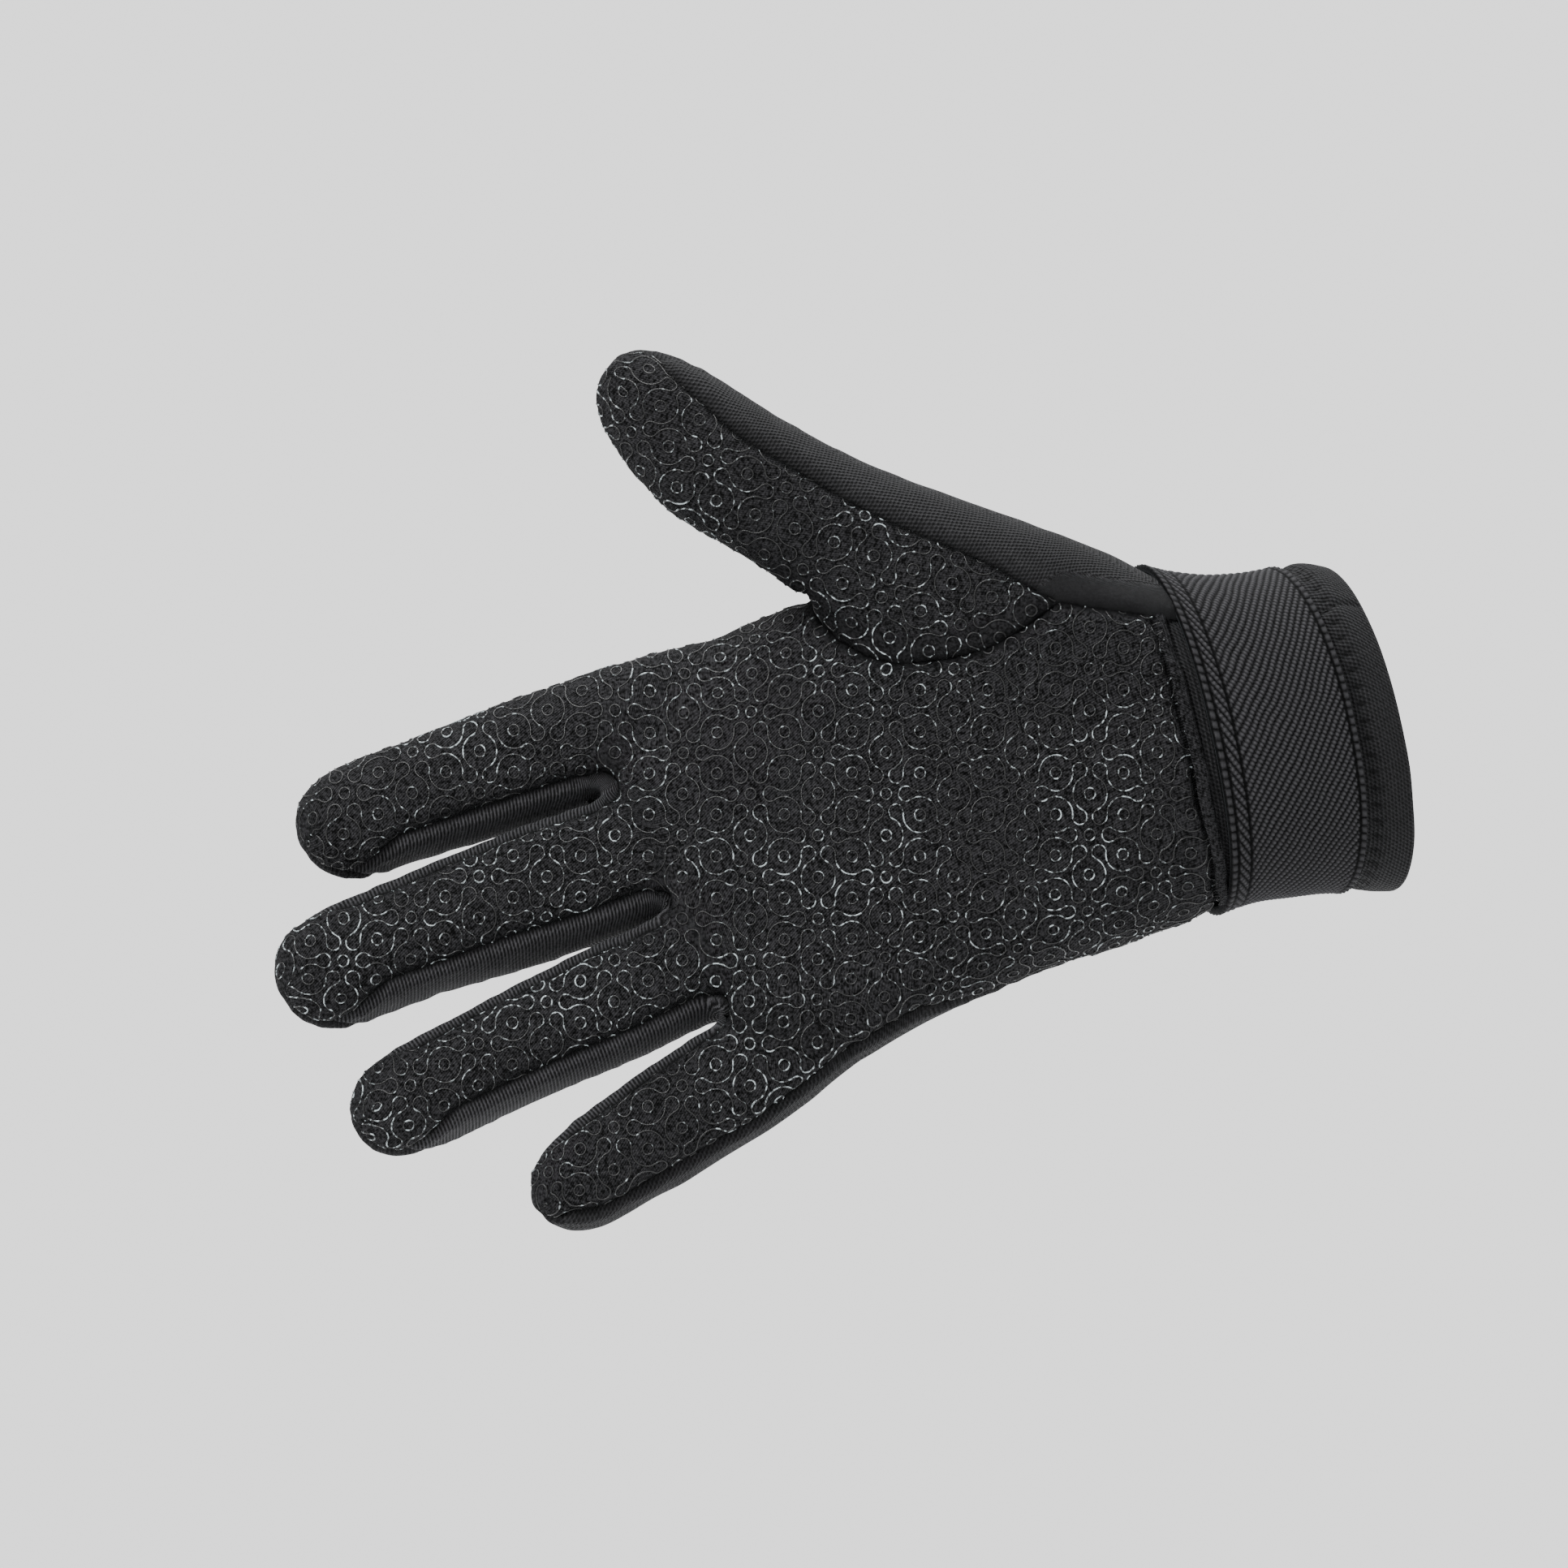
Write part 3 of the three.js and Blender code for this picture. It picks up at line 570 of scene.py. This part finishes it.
class Value:
    # One output of a shader node, so that sums of them read as plain expressions
    def __init__(self, graph, socket):
        self.graph = graph
        self.socket = socket

    def math(self, operation, other=None, swapped=False):
        pair = [self] if other is None else ([other, self] if swapped else [self, other])
        return self.graph.node("ShaderNodeMath", {"operation": operation}, dict(enumerate(pair)))

    def __add__(self, other):
        return self.math("ADD", other)

    def __radd__(self, other):
        return self.math("ADD", other, True)

    def __sub__(self, other):
        return self.math("SUBTRACT", other)

    def __rsub__(self, other):
        return self.math("SUBTRACT", other, True)

    def __mul__(self, other):
        return self.math("MULTIPLY", other)

    def __rmul__(self, other):
        return self.math("MULTIPLY", other, True)

    def __truediv__(self, other):
        return self.math("DIVIDE", other)

    def __rtruediv__(self, other):
        return self.math("DIVIDE", other, True)

    def sine(self):
        return self.math("SINE")

    def power(self, other):
        return self.math("POWER", other)


class Graph:
    def __init__(self, name):
        self.material = bpy.data.materials.new(name)
        self.material.use_nodes = True
        self.nodes = self.material.node_tree.nodes
        self.links = self.material.node_tree.links
        self.nodes.clear()

    def node(self, kind, settings, inputs, output=0):
        made = self.nodes.new(kind)
        for key, value in settings.items():
            setattr(made, key, value)
        for key, value in inputs.items():
            if isinstance(value, Value):
                self.links.new(value.socket, made.inputs[key])
            else:
                made.inputs[key].default_value = value
        return Value(self, made.outputs[output]) if len(made.outputs) else None

    def attribute(self, name):
        return self.node("ShaderNodeAttribute", {"attribute_name": name}, {}, "Fac")

    def grain(self, scale, detail):
        where = self.node("ShaderNodeTexCoord", {}, {}, "Object")
        values = {"Vector": where, "Scale": scale, "Detail": detail}
        return self.node("ShaderNodeTexNoise", {}, values, "Fac")

    def mix(self, factor, one, two):
        return self.node("ShaderNodeMix", {"data_type": "RGBA"}, {"Factor": factor, 6: one, 7: two}, 2)

    def finish(self, color, roughness, height, depth, strength, sheen, coat=0.0, specular=0.07):
        normal = self.node("ShaderNodeBump", {}, {"Height": height, "Distance": depth, "Strength": strength})
        values = {"Base Color": color, "Roughness": roughness, "Normal": normal, "Sheen Weight": sheen,
                  "Sheen Roughness": 0.45, "Sheen Tint": (0.75, 0.8, 0.85, 1), "Coat Weight": coat,
                  "Coat Roughness": 0.15, "Specular IOR Level": specular}
        surface = self.node("ShaderNodeBsdfPrincipled", {}, values)
        self.node("ShaderNodeOutputMaterial", {}, {"Surface": surface})
        return self.material


def gray(level):
    # Black cloth looks a touch blue
    return (level, level * 0.99, level * 1.06, 1)


knit = {"rib": 0.8, "wale": 0.95, "dark": 0.0001, "light": 0.0092, "sheen": 0.012, "contrast": 0.5,
        "fuzz": 1.2, "fuzzScale": 1500, "cloudScale": 60, "seamTone": 0.0004, "depth": 0.0005}


def knitMaterial(name, s, ribShare, specular=0.07):
    # Loops are a sine along the courses plus a sine across them; the tone darkens at the seams
    g = Graph(name)
    turn = 2 * math.pi
    rib = (g.attribute("course") * (turn / s["rib"])).sine()
    wale = (g.attribute("around") * (turn / s["wale"]) + g.attribute("course") * (math.pi / s["rib"])).sine()
    loops = rib * ribShare + wale * (1 - ribShare)
    seam = g.attribute("seam")
    fuzz = g.grain(s["fuzzScale"], 3)
    cloud = g.grain(s["cloudScale"], 4)
    factor = loops * s["contrast"] + fuzz * s["fuzz"] + cloud * 0.3 + (0.35 - s["fuzz"] * 0.5)
    tone = g.mix(factor, gray(s["dark"]), gray(s["light"]))
    color = g.mix(seam * 0.97, tone, gray(s["seamTone"]))
    height = loops * 0.6 + fuzz * 0.9
    return g.finish(color, 0.8 + cloud * 0.1, height, s["depth"], 0.9, s["sheen"], 0.0, specular)


printed = dict(knit, rib=0.6, wale=0.55, dark=0.0, light=0.0125, sheen=0.006, contrast=0.2, fuzz=3.6)
# The strips between the fingers: stronger ribs, and a lighter tone that is painted fill light, lifting the
# shade that falls deep between the fingers
ribbedPaintedFill = dict(knit, light=0.022, sheen=0.02, contrast=0.7)
knitBlack = knitMaterial("knit_black", knit, 0.5)
knitPrinted = knitMaterial("printed_knit", printed, 0.45, 0.035)
knitRibbedPaintedFill = knitMaterial("ribbed_knit_painted_fill", ribbedPaintedFill, 0.8)
print("materials made")

cloth = {"thickness": 1.5, "seamWidth": 0.6}


def clothPiece(name, mesh, material, replaced):
    faces, rows = mesh
    seam = np.exp(-(rows[:, columns["seam"]] / cloth["seamWidth"]) ** 2)
    values = {"course": rows[:, columns["course"]], "around": rows[:, columns["around"]], "seam": seam}
    piece = newPiece(name, rows[:, :3], [faces], material, replaced, values)
    wall = piece.modifiers.new("wall", "SOLIDIFY")
    wall.thickness = cloth["thickness"] * mm
    wall.offset = -1
    wall.use_even_offset = False
    return piece


clothPiece("palm_cloth", palmMesh, knitPrinted, ["palm_panel"])
clothPiece("thumb_cloth", thumbMesh, knitPrinted, ["thumb_front"])
clothPiece("back_cloth", backMesh, knitBlack, ["back_panel"])
for mesh, node in zip(stripMeshes, ["index_middle_strip", "middle_ring_strip", "ring_little_strip"]):
    clothPiece(node + "_cloth", mesh, knitRibbedPaintedFill, [node])
print("cloth panels made")


# Rings round the wrist, used for the strap, the cuff and the hem
def handPoints(place, angle, outset):
    # Centre + sign(cos) |cos|^(2/n) (a + outset) sideways + the same of the sine, with b, to the front
    row = rowAt(handForm, np.ravel(place))
    c = np.cos(np.ravel(angle))
    s = np.sin(np.ravel(angle))
    power = 2 / row[:, 14]
    across = np.sign(c) * np.abs(c) ** power * (row[:, 12] + np.ravel(outset))
    depth = np.sign(s) * np.abs(s) ** power * (row[:, 13] + np.ravel(outset))
    return row[:, 0:3] + across[:, None] * row[:, 6:9] + depth[:, None] * row[:, 9:12]


def evenAngles(place, first, last, count):
    # Angles that are evenly far apart along the ring, and how far each is from the first
    fine = np.radians(np.linspace(first, last, 4000))
    points = handPoints(np.full(4000, place), fine, np.zeros(4000))
    far = np.concatenate([[0], np.cumsum(np.linalg.norm(np.diff(points, axis=0), axis=1))])
    spots = np.linspace(0, far[-1], count)
    return np.interp(spots, far, fine), spots


def gridFaces(tall, wide, closed):
    # Quads of a grid that closes on itself across its rows, and also along them where closed says so
    i, j = np.meshgrid(np.arange(tall), np.arange(wide if closed else wide - 1), indexing="ij")
    i2 = (i + 1) % tall
    j2 = (j + 1) % wide
    return np.stack([i * wide + j, i * wide + j2, i2 * wide + j2, i2 * wide + j], -1).reshape(-1, 4)


def looksOut(points, faces, middles):
    # Whether the faces look away from the middles that go with their corners
    corner = points[faces[:, :3]]
    normal = np.cross(corner[:, 1] - corner[:, 0], corner[:, 2] - corner[:, 0])
    return dot(normal, corner.mean(1) - middles[faces[:, :3]].mean(1)).sum() > 0


def sweptFaces(points, middles, count, length, checked=None):
    # A closed section swept along an open line, with a cap at each end, all turned to look out
    faces = gridFaces(count, length, False)
    ring = np.arange(count) * length
    caps = [ring[None], (ring + length - 1)[None, ::-1]]
    if looksOut(points, faces[:checked], middles):
        return [faces] + [cap[:, ::-1] for cap in caps]
    return [faces[:, ::-1]] + caps


strap = {"start": 11.26, "end": 38.7, "width": 30.5, "clearance": 0.5, "thickness": 1.7, "around": 660,
         "across": 104, "border": 1.6, "rib": 1.3, "stitch": 0.87, "slope": 55, "turnFrom": 26.0,
         "turnTo": 28.9, "height": 0.45, "dark": 0.0, "light": 0.026, "wave": 0.18, "waves": 5}


def strapPiece(s):
    # A closed band: its flat section goes round the wrist's rings, with the weave raised on the outside
    angles, far = evenAngles((s["start"] + s["end"]) / 2, 0, 360, s["around"] + 1)
    angles, ring, far = angles[:-1], far[-1], far[:-1]
    top = s["clearance"] + s["thickness"]
    flat = np.linspace(0.35, s["width"] - 0.35, s["across"])
    under = np.linspace(s["width"] - 0.4, 0.4, 6)
    edge = np.array([[s["width"] - 0.06, top - 0.35], [s["width"], top - 0.9],
                     [s["width"] - 0.1, top - 1.4]])
    other = np.array([[0.1, top - 1.4], [0.0, top - 0.9], [0.06, top - 0.35]])
    profile = np.concatenate([np.stack([flat, np.full(len(flat), top)], 1), edge,
                              np.stack([under, np.full(6, s["clearance"])], 1), other])
    outer = np.arange(len(profile)) < len(flat)
    width, around = np.meshgrid(profile[:, 0], far, indexing="ij")
    tilt = math.radians(s["slope"])
    # The twill: ridges across q, each broken into stitches along l, mirrored in a narrow column
    mirrored = (width > s["turnFrom"]) & (width < s["turnTo"])
    flip = np.where(mirrored, -1, 1)
    ribs = round(ring * math.cos(tilt) / s["rib"])
    steps = round(ring * math.sin(tilt) / s["stitch"])
    spots = np.stack([width.ravel(), around.ravel(), 0 * width.ravel()], 1)
    uneven = 0.16 * noise(spots, 4.5, 31).reshape(width.shape)
    q = flip * -width * math.sin(tilt) / s["rib"] + around / ring * ribs + uneven
    l = flip * width * math.cos(tilt) / s["stitch"] + around / ring * steps + 0.5 * np.floor(q)
    ridge = np.abs(np.sin(np.pi * q)) ** 0.7 * (0.3 + 0.7 * np.abs(np.sin(np.pi * l)) ** 0.7)
    edgeCross = np.abs(np.sin(np.pi * around / 1.7)) ** 0.5 * 0.75
    border = (width < s["border"]) | (width > s["width"] - s["border"])
    lines = np.minimum(np.abs(width - s["border"]), np.abs(width - s["width"] + s["border"]))
    lines = np.minimum(lines, np.minimum(np.abs(width - s["turnFrom"]), np.abs(width - s["turnTo"])))
    ridge = np.where(border, edgeCross, ridge) * (1 - np.exp(-(lines / 0.28) ** 2))
    ridge = ridge * outer[:, None]
    share = profile[:, 0] / s["width"]
    place = s["start"] + share * (s["end"] - s["start"])
    outset = profile[:, 1][:, None] + s["height"] * ridge
    swell = np.sin(2 * np.pi * around / ring * s["waves"] + 0.6) * np.sin(np.pi * share)[:, None]
    outset = outset + s["wave"] * swell
    grid = np.repeat(place[:, None], len(far), 1), np.repeat(angles[None], len(profile), 0)
    points = handPoints(grid[0], grid[1], outset)
    faces = gridFaces(len(profile), len(far), True)
    ringMiddle = handPoints(grid[0], grid[1], np.full(grid[0].shape, s["clearance"] + s["thickness"] / 2))
    if not looksOut(points, faces, ringMiddle):
        faces = faces[:, ::-1]
    g = Graph("woven_elastic")
    height = g.attribute("ridge")
    grain = g.grain(1800, 3)
    # Painted shade: the tone follows the ridge height, dark in the pits between the ridges and light on
    # their tops, with grain noise over it
    factor = height.power(1.9) * 0.9 + grain * 0.35 - 0.2
    color = g.mix(factor, gray(s["dark"]), gray(s["light"]))
    material = g.finish(color, 0.78 - height * 0.14, grain, 0.0002, 0.5, 0.02, 0.0, 0.03)
    return newPiece("strap_band", points, [faces], material, ["wrist_strap"],
                    {"ridge": ridge.ravel()})


def lineOn(angles, out, slant, bow):
    # Where a straight cut lies on the wrist, found by stepping along until its distance is nothing
    place = np.full(len(angles), 40.0)
    for _ in range(8):
        points = handPoints(place, angles, np.zeros(len(angles)))
        place = place - 0.8 * pastCut(points, out, slant, bow)
    return place


def hemLine(angles):
    return lineOn(angles, seams["hemOut"], seams["hemSlant"], seams["hemBow"])


def backLine(angles):
    return lineOn(angles, seams["backOut"], seams["backSlant"], 0)


cuff = {"depth": 53, "wall": 1.6, "fold": 0.9, "hem": 9.0, "seamAngle": 42, "littleAngle": 182, "count": 420,
        "stitchPlace": 8.6, "stitchGap": 3.8, "dent": 0.5, "tuck": 1.2,
        "outerSteps": 70, "rollSteps": 12, "ends": 0.55, "wave": 0.4, "shift": 0.35}


def cuffPiece(name, s, first, last, node, seed, lap):
    # Half a cuff: outside, half-round roll at the opening and folded hem inside, swept round the wrist
    angles, far = evenAngles(5, first, last, s["count"])
    roll = np.radians(np.linspace(90, 270, s["rollSteps"]))
    half = (s["wall"] + s["fold"]) / 2
    outer = np.linspace(s["depth"], half, s["outerSteps"])
    inner = np.concatenate([np.linspace(half, s["hem"], 16), [s["hem"] + 0.3, s["hem"] + 1.2],
                            np.linspace(s["hem"] + 3, s["depth"], 14)])
    lining = np.where(inner <= s["hem"], -2 * half, -s["wall"])
    rolled = half * np.stack([1 + np.cos(roll[1:-1]), np.sin(roll[1:-1]) - 1], 1)
    profile = np.concatenate([np.stack([outer, np.zeros(len(outer))], 1), rolled,
                              np.stack([inner, lining], 1)])
    place, around = np.meshgrid(profile[:, 0], far, indexing="ij")
    outset = np.repeat(profile[:, 1][:, None], len(far), 1)
    isOuter = (np.arange(len(profile)) < len(outer))[:, None]
    row = np.exp(-((place - s["stitchPlace"]) / 1.1) ** 2)
    tick = 0.5 + 0.5 * np.cos(2 * np.pi * around / s["stitchGap"])
    outset = outset - isOuter * row * s["dent"] * (0.45 + 0.75 * tick)
    under = stepUp(-2.5, -0.5, place - lap(angles)[None])
    outset = outset - isOuter * under * s["tuck"]
    ends = np.minimum(around, far[-1] - around)
    outset = outset - isOuter * s["ends"] * np.exp(-(ends / 1.1) ** 2)
    shape = np.stack([place.ravel(), around.ravel(), np.full(place.size, seed * 7.0)], 1)
    wave = noise(shape, 9, seed).reshape(place.shape)
    outset = outset + s["wave"] * wave * np.exp(-place / 14)
    points = handPoints(place + s["shift"] * wave, np.repeat(angles[None], len(profile), 0), outset)
    middles = rowAt(handForm, place.ravel())[:, 0:3]
    faces = sweptFaces(points, middles, len(profile), len(far), len(far) - 1)
    return newPiece(name, points, faces, knitBlack, [node],
                    {"course": place.ravel(), "around": around.ravel(),
                     "seam": (isOuter * row * (tick > 0.86) * 0.95).ravel()})


welt = {"halfWidth": 1.25, "rise": 0.5, "height": 0.85, "first": 34, "last": 181, "count": 420, "ridge": 3.4,
        "swell": 0.13, "pucker": 0.3, "puckerCell": 3.1, "sway": 0.4, "swayCell": 5.0}


def weltPiece(s):
    # A roll along the hem line: an ellipse swept round the wrist, with swells and small puckers
    angles, far = evenAngles(40, s["first"], s["last"], s["count"])
    line = hemLine(angles)
    turn = np.linspace(0, 2 * np.pi, 13)[:-1]
    around = np.repeat(far[None], len(turn), 0)
    swell = 1 + s["swell"] * np.sin(2 * np.pi * around / s["ridge"]) * (np.sin(turn) > 0)[:, None]
    place = line[None] + s["halfWidth"] * np.cos(turn)[:, None]
    outset = s["rise"] + s["height"] * np.sin(turn)[:, None] * swell
    pucker = noise(np.stack([far, far * 0, far * 0 + 3], 1), s["puckerCell"], 21)
    outset = outset + s["pucker"] * pucker[None] * (np.sin(turn) > -0.3)[:, None]
    sway = noise(np.stack([far, far * 0, far * 0 + 9], 1), s["swayCell"], 22)
    place = place + s["sway"] * sway[None]
    points = handPoints(place, np.repeat(angles[None], len(turn), 0), outset)
    centre = handPoints(np.repeat(line[None], len(turn), 0), np.repeat(angles[None], len(turn), 0),
                        np.full(place.shape, s["rise"]))
    faces = sweptFaces(points, centre, len(turn), len(far))
    return newPiece("palm_hem", points, faces, knitPrinted, (),
                    {"course": place.ravel(), "around": around.ravel()})


strapPiece(strap)
cuffPiece("cuff_front_cloth", cuff, cuff["seamAngle"], cuff["littleAngle"], "cuff_front", 11, hemLine)
cuffPiece("cuff_back_cloth", cuff, cuff["littleAngle"], cuff["seamAngle"] + 360, "cuff_back", 12, backLine)
weltPiece(welt)
print("strap, cuff and hem made")

# The silicone print: rings on a triangular lattice of half the spacing, and a three-lobed outline in
# every triangle of the full spacing, as raised beads that follow the cloth
prints = {"spacing": 17.4, "ring": 1.22, "ringSteps": 20, "lobeOut": 0.325, "lobe": 0.092, "hollow": 0.2165,
          "lobeSteps": 14, "hollowSteps": 16, "halfWidth": 0.18, "height": 0.25, "palmTurn": -90,
          "thumbTurn": -79, "palmShift": (-85.9, 12.5), "thumbShift": (-101, 27.5), "reach": 44,
          "longest": 2.5, "lobeEnd": 125.9, "hollowAt": 0.2887}


def starOutline(s):
    # Three lobe arcs joined by three hollow arcs, in shares of the spacing; the arcs meet at equal slope
    lobeEnd = math.radians(s["lobeEnd"])
    lobe = np.linspace(-lobeEnd, lobeEnd, s["lobeSteps"] + 1)[:-1]
    side = np.radians(np.linspace(-54.1, -185.9, s["hollowSteps"] + 1)[:-1])
    arms = []
    for k in range(3):
        turn = k * 2 * np.pi / 3
        c = s["lobeOut"] * np.array([math.cos(turn), math.sin(turn)])
        arms.append(c + s["lobe"] * np.stack([np.cos(lobe + turn), np.sin(lobe + turn)], 1))
        c = s["hollowAt"] * np.array([math.cos(turn + math.pi / 3), math.sin(turn + math.pi / 3)])
        arms.append(c + s["hollow"] * np.stack([np.cos(side + turn), np.sin(side + turn)], 1))
    return np.concatenate(arms) * s["spacing"]


def turned(points, angle):
    c, s = math.cos(angle), math.sin(angle)
    return np.stack([points[:, 0] * c - points[:, 1] * s, points[:, 0] * s + points[:, 1] * c], 1)


def printPaths(s, turn, shift, lowest, highest):
    # Closed paths in the flat cloth: one array of rings and one of stars
    first = s["spacing"] * np.array([math.cos(turn), math.sin(turn)])
    second = s["spacing"] * np.array([math.cos(turn + math.pi / 3), math.sin(turn + math.pi / 3)])
    steps = np.arange(-s["reach"], s["reach"])
    i, j = [k.ravel() for k in np.meshgrid(steps, steps, indexing="ij")]
    spots = shift + i[:, None] * first / 2 + j[:, None] * second / 2
    whole = (i % 2 == 0) & (j % 2 == 0)
    inside = ((spots > lowest - 3) & (spots < highest + 3)).all(1)
    circle = np.linspace(0, 2 * np.pi, s["ringSteps"] + 1)[:-1]
    rings = spots[inside][:, None] + s["ring"] * np.stack([np.cos(circle), np.sin(circle)], 1)
    star = starOutline(s)
    middles = [spots[whole] + (first + second) / 3, spots[whole] + (2 * second - first) / 3]
    outlines = [turned(star, turn + math.pi / 2), turned(star, turn + math.pi / 6)]
    stars = []
    for middle, outline in zip(middles, outlines):
        near = ((middle > lowest - 8) & (middle < highest + 8)).all(1)
        stars.append(middle[near][:, None] + outline)
    return [rings, np.concatenate(stars)]


def ontoCloth(flat, mesh, column):
    # Finds the triangle of flattened cloth that holds each point, and the place on the cloth there
    faces, rows = mesh
    cell = 1.5
    corners = rows[:, column:column + 2][faces]
    keys = np.floor(flat / cell).astype(int)
    base = keys.min(0) - 2
    span = keys[:, 1].max() - base[1] + 4
    code = (keys[:, 0] - base[0]) * span + keys[:, 1] - base[1]
    order = np.argsort(code)
    code = code[order]
    lowKey = np.floor(corners.min(1) / cell).astype(int)
    highKey = np.floor(corners.max(1) / cell).astype(int)
    found = np.full(len(flat), -1)
    shares = np.zeros((len(flat), 3))
    for dx in (0, 1):
        for dy in (0, 1):
            key = lowKey + [dx, dy]
            fits = (key <= highKey).all(1) & (key[:, 1] >= base[1]) & (key[:, 1] < base[1] + span)
            index = np.nonzero(fits)[0]
            want = (key[index, 0] - base[0]) * span + key[index, 1] - base[1]
            start = np.searchsorted(code, want, "left")
            count = np.searchsorted(code, want, "right") - start
            face = np.repeat(index, count)
            step = np.arange(count.sum()) - np.repeat(np.cumsum(count) - count, count)
            point = order[np.repeat(start, count) + step]
            a, b, c = [corners[face, k] for k in range(3)]
            area = np.cross(b - a, c - a)
            area = np.where(np.abs(area) < 1e-9, 1e-9, area)
            wa = np.cross(b - flat[point], c - flat[point]) / area
            wb = np.cross(c - flat[point], a - flat[point]) / area
            wc = 1 - wa - wb
            good = (wa > -1e-4) & (wb > -1e-4) & (wc > -1e-4)
            found[point[good]] = face[good]
            shares[point[good]] = np.stack([wa, wb, wc], 1)[good]
    hit = found >= 0
    at = faces[found]
    place = sum(shares[:, k, None] * rows[at[:, k], 0:3] for k in range(3))
    slope = columns["slope"]
    normal = unit(sum(shares[:, k, None] * rows[at[:, k], slope:slope + 3] for k in range(3)))
    return hit, place, normal


def printPiece(name, mesh, plane, turn, shift, s):
    column = columns[plane]
    rows = mesh[1][:, column:column + 2]
    points = []
    quads = []
    start = 0
    # A bead: place + across half widths * across + up heights * normal, with (across, up) of a half-round
    profile = np.array([(-1, -0.3), (-0.75, 0.62), (0, 1), (0.75, 0.62), (1, -0.3)])
    for paths in printPaths(s, math.radians(turn), np.array(shift, float), rows.min(0), rows.max(0)):
        count, steps = paths.shape[:2]
        hit, place, normal = ontoCloth(paths.reshape(-1, 2), mesh, column)
        hit = hit.reshape(count, steps)
        place = place.reshape(count, steps, 3)
        normal = normal.reshape(count, steps, 3)
        ahead = np.where(np.roll(hit, -1, 1)[..., None], np.roll(place, -1, 1), place)
        behind = np.where(np.roll(hit, 1, 1)[..., None], np.roll(place, 1, 1), place)
        across = unit(np.cross(normal, ahead - behind))
        bead = (place[:, :, None] + profile[:, 0, None] * s["halfWidth"] * across[:, :, None]
                + profile[:, 1, None] * s["height"] * normal[:, :, None])
        near = np.linalg.norm(np.roll(place, -1, 1) - place, axis=2) < s["longest"]
        joined = hit & np.roll(hit, -1, 1) & near
        path, step = np.nonzero(joined)
        sides = len(profile)
        one = (path * steps + step) * sides
        two = (path * steps + (step + 1) % steps) * sides
        for k in range(sides):
            m = (k + 1) % sides
            quads.append(np.stack([one + k, two + k, two + m, one + m], 1) + start)
        points.append(bead.reshape(-1, 3))
        start += count * steps * sides
    points, quads = np.concatenate(points), np.concatenate(quads)
    used, number = np.unique(quads, return_inverse=True)
    return newPiece(name, points[used], [number.reshape(-1, 4)], silicone, ())


# The bright colour here is a painted highlight: glints painted into the base colour of the print
glintPaint = {"stretchScale": 950, "patchScale": 45, "patchShare": 0.6, "steep": 8.0, "from": -6.85,
         "fineScale": 3000, "dull": (0.0012, 0.0013, 0.0013, 1), "paintedGlint": (0.14, 0.158, 0.163, 1),
         "specular": 0.2}


def siliconeMaterial(s):
    # Clear lines with painted glints: sharp-edged bright stretches of base colour from two noises stand in
    # for the light the lines catch only here and there
    g = Graph("silicone_print_painted_glints")
    mixed = g.grain(s["stretchScale"], 2) + g.grain(s["patchScale"], 3) * s["patchShare"]
    glintShare = g.node("ShaderNodeMath", {"operation": "MULTIPLY_ADD", "use_clamp": True},
                     {0: mixed, 1: s["steep"], 2: s["from"]})
    fine = g.grain(s["fineScale"], 2)
    color = g.mix(glintShare, s["dull"], s["paintedGlint"])
    return g.finish(color, 0.42 - glintShare * 0.2, fine + glintShare, 0.0002, 0.6, 0.0, 0.0, s["specular"])


silicone = siliconeMaterial(glintPaint)
printPiece("palm_print", palmMesh, "pattern", prints["palmTurn"], prints["palmShift"], prints)
printPiece("thumb_print", thumbMesh, "thumbPattern", prints["thumbTurn"], prints["thumbShift"], prints)
print("print laid on")

# Floor and light
studio = {"floorHeight": -300, "floorHalf": 1000, "world": 1.7, "floor": (0.9, 0.9, 0.9, 1),
          "floorShade": (0.86, 0.86, 0.87, 1), "aim": (-0.12, 0, 0)}
# name, place in metres, width, watts
lights = [("key", (-0.6, -0.7, 0.75), 0.35, 46), ("fill", (0.6, -0.8, 0.1), 0.6, 6),
          ("top", (-0.1, 0.2, 0.9), 0.5, 18)]


def addStudio(s):
    g = Graph("floor_paint")
    tone = g.mix(g.grain(9, 2), s["floor"], s["floorShade"])
    material = g.finish(tone, 0.7 + g.grain(30, 2) * 0.1, g.grain(400, 2), 0.0002, 0.1, 0.0)
    half = s["floorHalf"] * mm
    height = s["floorHeight"] * mm
    corners = [(x, y, height) for x, y in ((-half, -half), (half, -half), (half, half), (-half, half))]
    mesh = bpy.data.meshes.new("floor")
    mesh.from_pydata(corners, [], [(0, 1, 2, 3)])
    mesh.materials.append(material)
    floor = bpy.data.objects.new("floor", mesh)
    bpy.context.collection.objects.link(floor)
    world = bpy.data.worlds.new("studio")
    world.use_nodes = True
    background = world.node_tree.nodes["Background"]
    background.inputs["Color"].default_value = (1, 1, 1, 1)
    background.inputs["Strength"].default_value = s["world"]
    bpy.context.scene.world = world


def addLight(name, place, width, watts):
    data = bpy.data.lights.new(name, "AREA")
    data.size = width
    data.energy = watts
    lamp = bpy.data.objects.new(name, data)
    lamp.location = place
    lamp.rotation_euler = (Vector(studio["aim"]) - Vector(place)).to_track_quat("-Z", "Y").to_euler()
    bpy.context.collection.objects.link(lamp)


addStudio(studio)
for light in lights:
    addLight(*light)
addCamera(camera)

shown = bpy.context.evaluated_depsgraph_get()
counts = {}
for piece in bpy.context.scene.objects:
    if piece.type == "MESH" and not piece.hide_render:
        mesh = piece.evaluated_get(shown).to_mesh()
        mesh.calc_loop_triangles()
        counts[piece.name] = len(mesh.loop_triangles)
print("triangles", counts, sum(counts.values()))
